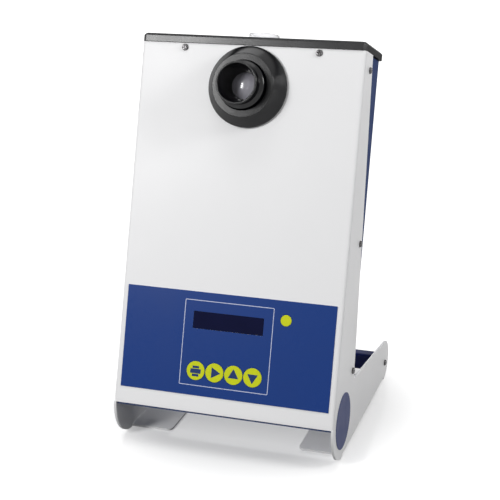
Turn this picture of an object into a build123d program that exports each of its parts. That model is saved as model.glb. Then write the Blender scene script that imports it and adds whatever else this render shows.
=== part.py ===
from build123d import *
from math import acos, atan2, cos, hypot, pi, radians, sin
import os

# Melting point apparatus: a leaning head on two folded feet, read through an eyepiece.
# All sizes are in millimetres. X is to the right, Y to the back and Z up, with the
# origin on the bench under the middle of the outline. A head size is given as if the
# head stood upright: Y is then the depth behind its face, Z the height up its face.

# Cover: face, tapered side flanges, feet and tabs, folded from one sheet
WIDTH = 200.0
FACE_HEIGHT = 318.0
LEAN = 17.0
SHEET = 2.0
BEND_RADIUS = 3.0
FACE_FOOT = 40.0
FLANGE_TOP_DEPTH = 26.5
NOTCH_DEPTH = 64.0
NOTCH_HEIGHT = 37.0
NOTCH_RADIUS = 2.0
FOOT_LENGTH = 223.0
NOSE_RADIUS = 34.0
TIP_RADIUS = 20.0
TAB_WIDTH = 40.0
TAB_CORNER = 5.0
DISC_RADIUS = 24.9
DISC_THICKNESS = 0.5

# Clearances between fitted pieces
FIT = 0.2
SLIDE_FIT = 0.08
REST_GAP = 0.35
SCREW_FIT = 0.05

# Housing behind the cover
HOUSING_DEPTH = 64.0
HOUSING_SHEET = 1.5
HOUSING_DROP = 1.8
HOUSING_TOP = FACE_HEIGHT - 0.5
HOUSING_BEND = 2.5
TOP_RIM_FRONT = 12.0
TOP_RIM = 12.0
LUG_X = 60.0
LUG_WIDTH = 16.0
LUG_HEIGHT = 12.0
VENT_LENGTH = 30.0
VENT_WIDTH = 3.0
VENT_PITCH = 8.0
VENT_COUNT = 11
VENT_HEIGHTS = (FACE_HEIGHT - 86.0, 108.0)

# Cap on the head
CAP_HEIGHT = 7.5
CAP_PROUD = 1.0
CAP_OVERHANG = 3.0
CAP_CORNER = 3.0
CAP_EDGE = 1.8
CAP_WALL = 3.0
CAP_SKIN = 3.0
CAP_LIP = 2.0
CAP_LIP_DEPTH = 4.0

# Draught shield and the guide for the sample tubes
SHIELD_RADIUS = 13.4
SHIELD_WALL = 2.4
SHIELD_RISE = 7.0
SHIELD_EDGE = 0.8
SHIELD_ROOM = 1.1
OVEN_BACK = 30.0
OVEN_DEPTH = HOUSING_DEPTH - OVEN_BACK
GUIDE_RADIUS = 17.0
GUIDE_THICKNESS = 5.0
GUIDE_TOP = FACE_HEIGHT - 4.0
GUIDE_BOSS_RADIUS = 8.0
GUIDE_BOSS_RISE = 3.0
TUBE_BORE = 0.9
TUBE_PITCH = 4.0
TUBE_FORWARD = 3.0
TUBE_COUNT = 3

# Oven: heated block in its insulating sleeve
BLOCK_RADIUS = 14.0
BLOCK_HEIGHT = 44.0
BLOCK_LOW = FACE_HEIGHT - 58.0
TUBE_FLOOR = 10.0
VIEW_WIDTH = 15.0
VIEW_HEIGHT = 11.0
LIGHT_RADIUS = 3.0
HEATER_RADIUS = 3.0
HEATER_LENGTH = 36.0
HEATER_X = 8.5
HEATER_BACK = 4.0
SENSOR_RADIUS = 1.5
SENSOR_LENGTH = 30.0
SENSOR_BACK = 8.5
SLEEVE_GAP = 0.3
SLEEVE_WALL = 3.5
SLEEVE_LEDGE = 3.0
GLASS_THICKNESS = 1.5
BRACKET_SHEET = 1.5
BRACKET_WIDTH = 44.0
LAMP_RADIUS = 2.5
LAMP_HOLDER_RADIUS = 6.0
LAMP_LENGTH = 4.5
LAMP_PORT_RADIUS = 5.0

# Eyepiece
EYE_HEIGHT = FACE_HEIGHT - 35.4
EYE_FLANGE_RADIUS = 34.7
EYE_EDGE = 4.0
EYE_FACE_RADIUS = 27.2
EYE_FACE = 16.0
EYE_SPIGOT_RADIUS = 26.5
EYE_SPIGOT = 6.0
EYE_CHAMFER = 0.8
EYE_NUT_RADIUS = 31.5
NUT_NOTCH = 1.5
BARREL_RADIUS = 20.4
BARREL_STEP = 22.0
NECK_RADIUS = 17.2
RIM_RADIUS = 18.0
RIM_OPENING = 16.0
RIM_REACH = 34.0
RIM_LENGTH = 5.0
FOCUS_TRAVEL = 6.0
STOP_LIP = 1.2
FUNNEL_BOW = 1.2
SEAT_LIP = 2.0
LENS_RADIUS = 12.5
LENS_APERTURE = 11.4
LENS_PLACE = 8.0
LENS_EDGE = 2.5
LENS_BULGE = 2.2
LENS_RING = 2.5

# Control panel
FOIL_WIDTH = 189.2
FOIL_HEIGHT = 90.0
FOIL_LOW = 14.7
FOIL = 0.5
WINDOW_WIDTH = 63.6
WINDOW_HEIGHT = 15.0
WINDOW_MIDDLE = 80.25
KEY_RADIUS = 8.2
KEY_PITCH = 17.2
KEY_NAMES = ("print", "start", "up", "down")
KEY_HEIGHT = 36.2
KEY_PROUD = 0.3
KEY_SKIRT = 1.4
KEY_TRAVEL = 0.5
KEY_STEM = 3.0
KEY_COLLAR = 1.2
ROUND_KEY_RADIUS = 4.8
ROUND_KEY_STEM = 2.0
ROUND_KEY_X = 51.2
ROUND_KEY_HEIGHT = 88.0
PAD_SLOT_GAP = 0.6
KEY_GUIDE_FRONT = 4.0
KEY_GUIDE_THICKNESS = 2.5
KEY_GUIDE_MARGIN = 14.0
KEY_GUIDE_ARM = 7.3
KEY_POST_RADIUS = 2.2
SWITCH_SIZE = 6.0
SWITCH_PLUNGER = 1.75
SWITCH_RISE = 0.5

# Display module
DISPLAY_BOARD_WIDTH = 80.0
DISPLAY_BOARD_HEIGHT = 36.0
DISPLAY_HOLE_INSET = 2.5
BEZEL_WIDTH = 71.2
BEZEL_HEIGHT = 25.2
BEZEL_DEPTH = 6.2
BEZEL_SHEET = 0.8
VIEW_AREA_WIDTH = 64.5
VIEW_AREA_HEIGHT = 16.0
CELL_THICKNESS = 2.8

# Boards
BOARD = 1.6
FRONT_BOARD_Y = 14.0
FRONT_BOARD_WIDTH = 134.0
FRONT_BOARD_LOW = 22.0
FRONT_BOARD_HEIGHT = 84.0
PILLAR_RADIUS = 3.0
PILLAR_INSET = 5.0
MAIN_BOARD_WIDTH = 110.0
MAIN_BOARD_HEIGHT = 84.0
MAIN_BOARD_X = 30.0
MAIN_BOARD_LOW = 126.0
STANDOFF = 7.0
CAPACITOR_RADIUS = 6.0
CAPACITOR_LENGTH = 20.0
CAPACITOR_X = (-30.0, -14.0)
SINK_WIDTH = 30.0
SINK_HEIGHT = 25.0
SINK_DEPTH = 14.0
SINK_FINS = 6
SINK_FIN = 1.4
CORE_WIDTH = 48.0
CORE_HEIGHT = 40.0
CORE_DEPTH = 17.0
COIL_DEPTH = 30.0
COIL_HEIGHT = 26.0
TRANSFORMER_X = -62.0
TRANSFORMER_HEIGHT = 168.0

# Mains inlet, switch and data port in the back wall
BACK_ROW = 52.0
INLET_X = 58.0
INLET_PLATE_WIDTH = 50.0
INLET_PLATE_HEIGHT = 40.0
INLET_PLATE = 3.0
INLET_BODY_WIDTH = 28.0
INLET_BODY_HEIGHT = 33.0
INLET_BODY_DEPTH = 22.0
INLET_SCREW_PITCH = 40.0
SOCKET_WIDTH = 24.4
SOCKET_HEIGHT = 16.4
SOCKET_DEPTH = 17.0
SOCKET_CHAMFER = 4.0
SOCKET_DROP = 6.5
PIN_WIDTH = 2.0
PIN_HEIGHT = 4.0
PIN_LENGTH = 16.0
PIN_PITCH = 14.0
PIN_OFFSET = 4.0
DRAWER_WIDTH = 22.0
DRAWER_HEIGHT = 9.0
DRAWER_DEPTH = 19.0
DRAWER_RAISE = 9.5
DRAWER_LIP = 1.5
DRAWER_WALL = 2.0
FUSE_RADIUS = 2.5
FUSE_PITCH = 5.8
FUSE_FRONT = 7.2
ROCKER_X = 12.0
ROCKER_WIDTH = 19.0
ROCKER_HEIGHT = 13.0
ROCKER_FRAME = 2.0
ROCKER_BODY_DEPTH = 16.0
ROCKER_PIVOT = 1.4
ROCKER_TILT = 10.0
ROCKER_WALL = 1.6
ROCKER_END_GAP = 1.05
ROCKER_BACK = 2.3
ROCKER_HOLLOW = 1.0
PORT_X = -42.0
PORT_WIDTH = 31.0
PORT_HEIGHT = 12.5
PORT_SHELL_WIDTH = 16.9
PORT_SHELL_HEIGHT = 8.4
PORT_SHELL_DEPTH = 5.8
PORT_SLANT = 10.0
PORT_BODY = 10.0
PORT_EAR = 6.0
PORT_NUT_PITCH = 25.0
PORT_NUT_FLAT = 2.5
PORT_NUT_LENGTH = 5.0

# Crossbar between the feet
BAR_HEIGHT = 17.0
BAR_DEPTH = 10.0
BAR_SHEET = 1.5
BAR_BEND = 2.5
BAR_MIDDLE_Z = 17.5
BAR_BACK = 2.0
BAR_NUT_RADIUS = 3.5
BAR_NUT_LENGTH = 3.0

# Screws
M3 = 1.5
M3_HEAD = 2.8
M3_HEAD_HEIGHT = 2.1
M3_LENGTH = 8.0
M25 = 1.25
M25_HEAD = 2.5
M25_HEAD_HEIGHT = 1.7
M25_LENGTH = 6.0
HEAD_ROUND = 0.6
FACE_SCREW_DROP = 4.2
SIDE_SCREW_HEIGHTS = (FACE_HEIGHT - 14.0, FACE_HEIGHT / 2 - 1.6, 45.7)
SIDE_SCREW_INSETS = (10.0, 8.2, 8.0)

# Places worked out from the sizes above
HALF = WIDTH / 2
INNER = HALF - SHEET
NOSE_Y = NOSE_RADIUS - FOOT_LENGTH / 2
TIP_Y = FOOT_LENGTH / 2 - TIP_RADIUS
TILT = radians(LEAN)
FACE_FOOT_Y = NOSE_Y - (NOSE_RADIUS - (FACE_FOOT - NOSE_RADIUS) * sin(TILT)) / cos(TILT)
HEAD = Location((0, FACE_FOOT_Y, FACE_FOOT), (-LEAN, 0, 0))
HOUSING_HALF = INNER - FIT
HOUSING_FRONT = BEND_RADIUS + FIT
BACK_INSIDE = HOUSING_DEPTH - HOUSING_SHEET
TOP_RIM_BACK = BACK_INSIDE - OVEN_DEPTH - SHIELD_RADIUS - SHIELD_ROOM
CAP_TOP = FACE_HEIGHT + CAP_HEIGHT
BLOCK_TOP = BLOCK_LOW + BLOCK_HEIGHT
SLEEVE_INNER = BLOCK_RADIUS + SLEEVE_GAP
SLEEVE_RADIUS = SLEEVE_INNER + SLEEVE_WALL
SLEEVE_LOW = BLOCK_LOW - SLEEVE_LEDGE
GLASS_FRONT = OVEN_DEPTH - SLEEVE_RADIUS
KEY_X = [KEY_PITCH * (i - (len(KEY_NAMES) - 1) / 2) for i in range(len(KEY_NAMES))]
KEY_GUIDE_BACK = KEY_GUIDE_FRONT + KEY_GUIDE_THICKNESS
COLLAR_FRONT = KEY_GUIDE_BACK + REST_GAP
STEM_END = COLLAR_FRONT + KEY_COLLAR + 1.4
PLUNGER_FRONT = STEM_END + KEY_TRAVEL + REST_GAP
BEZEL_FRONT = SHEET + REST_GAP
DISPLAY_BOARD_Y = BEZEL_FRONT + BEZEL_DEPTH
TUBE_X = [TUBE_PITCH * (i - (TUBE_COUNT - 1) / 2) for i in range(TUBE_COUNT)]
TUBE_Y = OVEN_DEPTH - TUBE_FORWARD


# Helpers

def block(x0, x1, y0, y1, z0, z1):
    """A box between two values on each axis."""
    middle = Pos((x0 + x1) / 2, (y0 + y1) / 2, (z0 + z1) / 2)
    return middle * Box(abs(x1 - x0), abs(y1 - y0), abs(z1 - z0))


def rod_y(radius, x, z, y0, y1):
    """A round rod that runs front to back."""
    return Pos(x, (y0 + y1) / 2, z) * Rot(90, 0, 0) * Cylinder(radius, abs(y1 - y0))


def rod_x(radius, y, z, x0, x1):
    """A round rod that runs across."""
    return Pos((x0 + x1) / 2, y, z) * Rot(0, 90, 0) * Cylinder(radius, abs(x1 - x0))


def post(radius, x, y, z0, z1):
    """An upright round rod."""
    return Pos(x, y, (z0 + z1) / 2) * Cylinder(radius, z1 - z0)


def turned(profile, x, z):
    """A turned piece about a front to back axis, from a closed line of (radius, y) points."""
    half = make_face(Polyline(*profile, close=True))
    return Pos(x, 0, z) * revolve(half, Axis.Y)


def face_point(height, depth):
    """Where a point of the upright head lies once it leans, as (Y, Z)."""
    y = FACE_FOOT_Y + height * sin(TILT) + depth * cos(TILT)
    z = FACE_FOOT + height * cos(TILT) - depth * sin(TILT)
    return (y, z)


def flange_depth(height):
    """Depth of the tapered flange behind the face, at a height up the face."""
    share = (FACE_HEIGHT - height) / (FACE_HEIGHT - NOTCH_HEIGHT)
    return FLANGE_TOP_DEPTH + share * (NOTCH_DEPTH - FLANGE_TOP_DEPTH)


def on_circle(y, radius, angle):
    """Point of a circle that stands on the bench, as (Y, Z)."""
    return (y + radius * cos(angle), radius + radius * sin(angle))


def mirrored(shape):
    """The shape with its left-hand twin."""
    return shape + mirror(shape, Plane.YZ)


# Folded front cover

def side_outline():
    """Side view of the cover: flange, notch, foot arm, round tip, floor line and round nose."""
    face_top = face_point(FACE_HEIGHT, 0)
    flange_top = face_point(FACE_HEIGHT, FLANGE_TOP_DEPTH)
    notch = face_point(NOTCH_HEIGHT, NOTCH_DEPTH)
    away = (notch[0] - TIP_Y, notch[1] - TIP_RADIUS)
    touch = atan2(away[1], away[0]) - acos(TIP_RADIUS / hypot(*away))
    arm_end = on_circle(TIP_Y, TIP_RADIUS, touch)
    tip_middle = on_circle(TIP_Y, TIP_RADIUS, (touch - pi / 2) / 2)
    lean_touch = pi - TILT
    nose_top = on_circle(NOSE_Y, NOSE_RADIUS, lean_touch)
    nose_middle = on_circle(NOSE_Y, NOSE_RADIUS, (lean_touch + 3 * pi / 2) / 2)
    line = Polyline(nose_top, face_top, flange_top, notch, arm_end)
    tip = ThreePointArc(arm_end, tip_middle, (TIP_Y, 0))
    floor = Line((TIP_Y, 0), (NOSE_Y, 0))
    nose = ThreePointArc((NOSE_Y, 0), nose_middle, nose_top)
    outline = make_face(line + tip + floor + nose)
    corner = outline.vertices().sort_by_distance(Vector(notch[0], notch[1], 0))[0]
    return fillet(corner, NOTCH_RADIUS)


def channel(reach):
    """The bent face with its flanges, before their sides are cut to shape."""
    outer = Pos(0, reach / 2) * Rectangle(WIDTH, reach)
    outer = fillet(outer.vertices().group_by(Axis.Y)[0], BEND_RADIUS)
    inner = Pos(0, SHEET + reach / 2) * Rectangle(2 * INNER, reach)
    inner = fillet(inner.vertices().group_by(Axis.Y)[0], BEND_RADIUS - SHEET)
    return extrude(outer - inner, FACE_HEIGHT)


def tab_fold():
    """Right-hand tab and the bend that joins it to its foot, over the straight floor line."""
    low, high = NOSE_Y, TIP_Y
    section = Pos(HALF - TAB_WIDTH / 2, BEND_RADIUS) * Rectangle(TAB_WIDTH, 2 * BEND_RADIUS)
    inner = Pos(HALF - SHEET - TAB_WIDTH / 2, SHEET + BEND_RADIUS) * Rectangle(TAB_WIDTH, 2 * BEND_RADIUS)
    outer_corner = section.vertices().sort_by_distance(Vector(HALF, 0, 0))[0]
    inner_corner = inner.vertices().sort_by_distance(Vector(INNER, SHEET, 0))[0]
    section = fillet(outer_corner, BEND_RADIUS) - fillet(inner_corner, BEND_RADIUS - SHEET)
    section = section & (Pos(HALF - TAB_WIDTH / 2, BEND_RADIUS / 2) * Rectangle(TAB_WIDTH, BEND_RADIUS))
    fold = Pos(0, high, 0) * Rot(90, 0, 0) * extrude(section, high - low)
    corners = fold.edges().filter_by(Axis.Z).group_by(Axis.X)[0]
    return fillet(corners, TAB_CORNER)


def window_cut(margin, y0, y1):
    """The display opening, larger or smaller by a margin on each side."""
    half_width = WINDOW_WIDTH / 2 + margin
    half_height = WINDOW_HEIGHT / 2 + margin
    return block(-half_width, half_width, y0, y1, WINDOW_MIDDLE - half_height, WINDOW_MIDDLE + half_height)


def face_cuts():
    """Openings in the face for the eyepiece, the display, the keys and the upper screws."""
    reach = 2 * SHEET
    cuts = [rod_y(EYE_SPIGOT_RADIUS + FIT, 0, EYE_HEIGHT, -reach, reach)]
    cuts.append(window_cut(0, -reach, reach))
    slot = SlotCenterToCenter(KEY_PITCH * (len(KEY_NAMES) - 1), 2 * (KEY_RADIUS + PAD_SLOT_GAP))
    cuts.append(Pos(0, reach, KEY_HEIGHT) * Rot(90, 0, 0) * extrude(slot, 2 * reach))
    cuts.append(rod_y(ROUND_KEY_RADIUS + PAD_SLOT_GAP, ROUND_KEY_X, ROUND_KEY_HEIGHT, -reach, reach))
    for x in (-LUG_X, LUG_X):
        cuts.append(rod_y(M25 + FIT, x, FACE_HEIGHT - FACE_SCREW_DROP, -reach, reach))
    return cuts


def side_screw_places():
    """Depth and height of each side screw, inside the tapered edge of the flange."""
    return [(flange_depth(h) - inset, h) for h, inset in zip(SIDE_SCREW_HEIGHTS, SIDE_SCREW_INSETS)]


def front_cover():
    outline = Plane.YZ * side_outline()
    prism = extrude(outline, HALF, both=True)
    upper = HEAD * channel(2 * FOOT_LENGTH) & prism
    plates = mirrored(Pos(INNER, 0, 0) * extrude(outline, SHEET))
    above = HEAD * block(-WIDTH, WIDTH, -FOOT_LENGTH, 2 * FOOT_LENGTH, 0, 2 * FACE_HEIGHT)
    cover = upper + (plates - above)
    fold = tab_fold()
    cover = cover - mirrored(block(HALF - BEND_RADIUS, WIDTH, NOSE_Y, TIP_Y, -SHEET, BEND_RADIUS))
    cover = cover + mirrored(fold)
    for cut in face_cuts():
        cover = cover - HEAD * cut
    for depth, height in side_screw_places():
        cover = cover - HEAD * rod_x(M3 + FIT, depth, height, -WIDTH, WIDTH)
    return cover - rod_x(M3 + FIT, TIP_Y + BAR_BACK, BAR_MIDDLE_Z, -WIDTH, WIDTH)


def side_disc(side):
    """Round blue disc on the outside of a foot, centred on the nose."""
    disc = rod_x(DISC_RADIUS, NOSE_Y, NOSE_RADIUS, HALF, HALF + DISC_THICKNESS)
    return disc if side > 0 else mirror(disc, Plane.YZ)


# Rear housing

def vent_rows():
    """Rows of upright slots in the back wall."""
    slot = SlotOverall(VENT_LENGTH, VENT_WIDTH, rotation=90)
    rows = []
    for height in VENT_HEIGHTS:
        for i in range(VENT_COUNT):
            x = VENT_PITCH * (i - (VENT_COUNT - 1) / 2)
            cut = extrude(slot, 2 * SHEET + HOUSING_SHEET)
            rows.append(Pos(x, HOUSING_DEPTH + HOUSING_SHEET, height) * Rot(90, 0, 0) * cut)
    return rows


def back_cuts():
    """Openings in the back wall for the inlet, the switch and the data port."""
    y0, y1 = BACK_INSIDE - SHEET, HOUSING_DEPTH + SHEET
    half_w, half_h = INLET_BODY_WIDTH / 2 + FIT, INLET_BODY_HEIGHT / 2 + FIT
    cuts = [block(INLET_X - half_w, INLET_X + half_w, y0, y1, BACK_ROW - half_h, BACK_ROW + half_h)]
    half_w, half_h = ROCKER_WIDTH / 2 + FIT, ROCKER_HEIGHT / 2 + FIT
    cuts.append(block(ROCKER_X - half_w, ROCKER_X + half_w, y0, y1, BACK_ROW - half_h, BACK_ROW + half_h))
    half_w, half_h = PORT_SHELL_WIDTH / 2 + FIT, PORT_SHELL_HEIGHT / 2 + FIT
    cuts.append(block(PORT_X - half_w, PORT_X + half_w, y0, y1, BACK_ROW - half_h, BACK_ROW + half_h))
    for x in [x for x, z in inlet_screw_places()] + port_nut_places():
        cuts.append(rod_y(M3 + SCREW_FIT, x, BACK_ROW, y0, y1))
    return cuts


def rear_housing():
    outer = block(-HOUSING_HALF, HOUSING_HALF, HOUSING_FRONT, HOUSING_DEPTH, -HOUSING_DROP, HOUSING_TOP)
    bends = outer.edges().filter_by(Axis.Z).group_by(Axis.Y)[-1]
    bends = bends + outer.edges().filter_by(Axis.X).group_by(Axis.Y)[-1].group_by(Axis.Z)[0]
    outer = fillet(bends, HOUSING_BEND)
    side = HOUSING_HALF - HOUSING_SHEET
    floor = HOUSING_SHEET - HOUSING_DROP
    hollow = block(-side, side, 0, BACK_INSIDE, floor, HOUSING_TOP - HOUSING_SHEET)
    bends = hollow.edges().filter_by(Axis.Z).group_by(Axis.Y)[-1]
    bends = bends + hollow.edges().filter_by(Axis.X).group_by(Axis.Y)[-1].group_by(Axis.Z)[0]
    hollow = fillet(bends, HOUSING_BEND - HOUSING_SHEET)
    housing = outer - hollow
    rim = side - TOP_RIM
    rim_back = BACK_INSIDE - TOP_RIM_BACK
    housing = housing - block(-rim, rim, TOP_RIM_FRONT, rim_back, floor + HOUSING_SHEET, CAP_TOP)
    for x in (-LUG_X, LUG_X):
        lug = block(
            x - LUG_WIDTH / 2, x + LUG_WIDTH / 2,
            SHEET + FIT, HOUSING_FRONT + HOUSING_SHEET,
            HOUSING_TOP - LUG_HEIGHT, HOUSING_TOP,
        )
        hole = rod_y(M25 + SCREW_FIT, x, FACE_HEIGHT - FACE_SCREW_DROP, 0, M25_LENGTH)
        housing = housing + lug - hole
    for cut in vent_rows() + back_cuts():
        housing = housing - cut
    for depth, height in side_screw_places():
        housing = housing - rod_x(M3 + SCREW_FIT, depth, height, -WIDTH, WIDTH)
    for x, height in board_holes():
        housing = housing - rod_y(M3 + SCREW_FIT, x, height, BACK_INSIDE - SHEET, HOUSING_DEPTH + SHEET)
    return HEAD * housing


# Cap, draught shield and guide

def top_cap():
    back = HOUSING_DEPTH + CAP_OVERHANG
    body = block(-HALF, HALF, -CAP_PROUD, back, FACE_HEIGHT, CAP_TOP)
    body = chamfer(body.edges().filter_by(Axis.Z), CAP_CORNER)
    body = chamfer(body.faces().sort_by(Axis.Z)[-1].edges(), CAP_EDGE)
    under = CAP_TOP - CAP_SKIN
    hollow = block(-HALF + CAP_WALL, HALF - CAP_WALL, CAP_WALL, back - CAP_WALL, FACE_HEIGHT - SHEET, under)
    seat = post(SHIELD_RADIUS + FIT + CAP_WALL, 0, OVEN_DEPTH, FACE_HEIGHT, under)
    rim = HOUSING_HALF - HOUSING_SHEET - TOP_RIM - FIT
    lip_front, lip_back = TOP_RIM_FRONT + FIT, BACK_INSIDE - TOP_RIM_BACK - FIT
    lip_low = FACE_HEIGHT - CAP_LIP_DEPTH
    lip = block(-rim, rim, lip_front, lip_back, lip_low, under)
    inner = rim - CAP_LIP
    lip = lip - block(-inner, inner, lip_front + CAP_LIP, lip_back - CAP_LIP, lip_low, under)
    hole = post(SHIELD_RADIUS + FIT, 0, OVEN_DEPTH, lip_low - SHEET, CAP_TOP + SHEET)
    return HEAD * (body - hollow + seat + lip - hole)


def draught_shield():
    outer = post(SHIELD_RADIUS, 0, OVEN_DEPTH, GUIDE_TOP, CAP_TOP + SHIELD_RISE)
    tube = outer - post(SHIELD_RADIUS - SHIELD_WALL, 0, OVEN_DEPTH, GUIDE_TOP, CAP_TOP + SHIELD_RISE)
    rims = tube.edges().filter_by(GeomType.CIRCLE).group_by(Axis.Z)[-1]
    return HEAD * fillet(rims, SHIELD_EDGE)


def tube_guide():
    """Disc under the cap that leads the sample tubes into the oven."""
    guide = post(GUIDE_RADIUS, 0, OVEN_DEPTH, GUIDE_TOP - GUIDE_THICKNESS, GUIDE_TOP)
    guide = guide + post(GUIDE_BOSS_RADIUS, 0, OVEN_DEPTH, BLOCK_TOP, GUIDE_TOP + GUIDE_BOSS_RISE)
    for x in TUBE_X:
        guide = guide - post(TUBE_BORE, x, TUBE_Y, BLOCK_TOP - SHEET, CAP_TOP)
    return HEAD * guide


# Oven

def heating_block():
    body = post(BLOCK_RADIUS, 0, OVEN_DEPTH, BLOCK_LOW, BLOCK_TOP)
    half_w, half_h = VIEW_WIDTH / 2, VIEW_HEIGHT / 2
    body = body - block(-half_w, half_w, 0, TUBE_Y, EYE_HEIGHT - half_h, EYE_HEIGHT + half_h)
    body = body - rod_y(LIGHT_RADIUS, 0, EYE_HEIGHT, TUBE_Y, HOUSING_DEPTH)
    for x in TUBE_X:
        body = body - post(TUBE_BORE, x, TUBE_Y, BLOCK_LOW + TUBE_FLOOR, BLOCK_TOP + SHEET)
    for x in (-HEATER_X, HEATER_X):
        heater_top = BLOCK_LOW + HEATER_LENGTH
        body = body - post(HEATER_RADIUS + SCREW_FIT, x, OVEN_DEPTH + HEATER_BACK, 0, heater_top)
    sensor_y = OVEN_DEPTH + SENSOR_BACK
    body = body - post(SENSOR_RADIUS + SCREW_FIT, 0, sensor_y, 0, EYE_HEIGHT - 2 * LIGHT_RADIUS)
    return HEAD * body


def heater_cartridges():
    pair = [
        post(HEATER_RADIUS, x, OVEN_DEPTH + HEATER_BACK, BLOCK_LOW - SLEEVE_LEDGE, BLOCK_LOW + HEATER_LENGTH)
        for x in (-HEATER_X, HEATER_X)
    ]
    return HEAD * Compound(children=pair)


def temperature_sensor():
    top = EYE_HEIGHT - 2 * LIGHT_RADIUS - FIT
    return HEAD * post(SENSOR_RADIUS, 0, OVEN_DEPTH + SENSOR_BACK, top - SENSOR_LENGTH, top)


def oven_sleeve():
    """Insulating sleeve with a window in front and the lamp's port behind."""
    sleeve = post(SLEEVE_RADIUS, 0, OVEN_DEPTH, SLEEVE_LOW, BLOCK_TOP)
    sleeve = sleeve - post(SLEEVE_INNER, 0, OVEN_DEPTH, BLOCK_LOW, BLOCK_TOP)
    for x in (-HEATER_X, HEATER_X):
        sleeve = sleeve - post(HEATER_RADIUS + FIT, x, OVEN_DEPTH + HEATER_BACK, 0, BLOCK_LOW)
    sleeve = sleeve - post(SENSOR_RADIUS + FIT, 0, OVEN_DEPTH + SENSOR_BACK, 0, BLOCK_LOW)
    half_w, half_h = VIEW_WIDTH / 2, VIEW_HEIGHT / 2
    sleeve = sleeve - block(-half_w, half_w, 0, OVEN_DEPTH, EYE_HEIGHT - half_h, EYE_HEIGHT + half_h)
    seat_w, seat_h = half_w + GLASS_THICKNESS, half_h + GLASS_THICKNESS
    seat_y = GLASS_FRONT + GLASS_THICKNESS + SLEEVE_GAP
    sleeve = sleeve - block(-seat_w, seat_w, 0, seat_y, EYE_HEIGHT - seat_h, EYE_HEIGHT + seat_h)
    sleeve = sleeve - rod_y(LAMP_PORT_RADIUS, 0, EYE_HEIGHT, OVEN_DEPTH, HOUSING_DEPTH)
    return HEAD * sleeve


def oven_glass():
    seat_w = VIEW_WIDTH / 2 + GLASS_THICKNESS - FIT
    seat_h = VIEW_HEIGHT / 2 + GLASS_THICKNESS - FIT
    back = GLASS_FRONT + GLASS_THICKNESS + SLEEVE_GAP
    glass = block(-seat_w, seat_w, back - GLASS_THICKNESS, back, EYE_HEIGHT - seat_h, EYE_HEIGHT + seat_h)
    return HEAD * glass


def oven_bracket():
    """Folded shelf on the back wall that carries the sleeve and the lamp."""
    half = BRACKET_WIDTH / 2
    back = BACK_INSIDE
    wall = block(-half, half, back - BRACKET_SHEET, back, SLEEVE_LOW - BRACKET_SHEET, BLOCK_TOP)
    shelf = block(-half, half, OVEN_DEPTH - BLOCK_RADIUS, back, SLEEVE_LOW - BRACKET_SHEET, SLEEVE_LOW)
    for x in (-HEATER_X, HEATER_X):
        shelf = shelf - post(HEATER_RADIUS + 1, x, OVEN_DEPTH + HEATER_BACK, 0, FACE_HEIGHT)
    shelf = shelf - post(SENSOR_RADIUS + 1, 0, OVEN_DEPTH + SENSOR_BACK, 0, FACE_HEIGHT)
    gusset = make_face(Polyline(
        (back, SLEEVE_LOW), (OVEN_DEPTH, SLEEVE_LOW), (back, BLOCK_TOP), close=True
    ))
    gusset = extrude(Plane.YZ * gusset, BRACKET_SHEET)
    bracket = wall + shelf + Pos(half - BRACKET_SHEET, 0, 0) * gusset + Pos(-half, 0, 0) * gusset
    bracket = bracket - rod_y(LAMP_HOLDER_RADIUS + FIT, 0, EYE_HEIGHT, OVEN_DEPTH, HOUSING_DEPTH)
    return HEAD * bracket


def lamp_holder():
    front = OVEN_DEPTH + SLEEVE_RADIUS + FIT
    holder = rod_y(LAMP_HOLDER_RADIUS, 0, EYE_HEIGHT, front - SLEEVE_GAP, BACK_INSIDE - SLEEVE_GAP)
    sleeve_room = post(SLEEVE_RADIUS + FIT, 0, OVEN_DEPTH, SLEEVE_LOW, BLOCK_TOP)
    bore = rod_y(LAMP_RADIUS + SCREW_FIT, 0, EYE_HEIGHT, OVEN_DEPTH, BACK_INSIDE - SHEET)
    return HEAD * (holder - sleeve_room - bore)


def lamp():
    """Small round lamp with a domed end, in the bore of its holder."""
    base = BACK_INSIDE - SHEET
    body = rod_y(LAMP_RADIUS, 0, EYE_HEIGHT, base - LAMP_LENGTH, base)
    dome = Pos(0, base - LAMP_LENGTH, EYE_HEIGHT) * Sphere(LAMP_RADIUS)
    return HEAD * (body + dome)


# Eyepiece, with Y measured out of the face as a negative depth

def eyepiece_flange():
    bore = BARREL_RADIUS + SLIDE_FIT
    lead = EYE_CHAMFER
    profile = [
        (bore, EYE_SPIGOT),
        (EYE_SPIGOT_RADIUS, EYE_SPIGOT),
        (EYE_SPIGOT_RADIUS, 0),
        (EYE_FLANGE_RADIUS, 0),
        (EYE_FLANGE_RADIUS, -EYE_EDGE + lead),
        (EYE_FLANGE_RADIUS - lead / 2, -EYE_EDGE),
        (EYE_FACE_RADIUS, -EYE_FACE + lead / 2),
        (EYE_FACE_RADIUS - lead / 2, -EYE_FACE),
        (bore + lead, -EYE_FACE),
        (bore, -EYE_FACE + lead),
    ]
    return HEAD * turned(profile, 0, EYE_HEIGHT)


def eyepiece_nut():
    """Ring nut behind the face that holds the eyepiece flange."""
    inner = EYE_SPIGOT_RADIUS + SCREW_FIT
    nut = rod_y(EYE_NUT_RADIUS, 0, EYE_HEIGHT, SHEET, EYE_SPIGOT - FIT)
    nut = nut - rod_y(inner, 0, EYE_HEIGHT, 0, HOUSING_DEPTH)
    notch = block(-NUT_NOTCH, NUT_NOTCH, 0, HOUSING_DEPTH, EYE_NUT_RADIUS - NUT_NOTCH, 2 * EYE_NUT_RADIUS)
    for quarter in range(4):
        nut = nut - Pos(0, 0, EYE_HEIGHT) * Rot(0, 90 * quarter, 0) * notch
    return HEAD * nut


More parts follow.
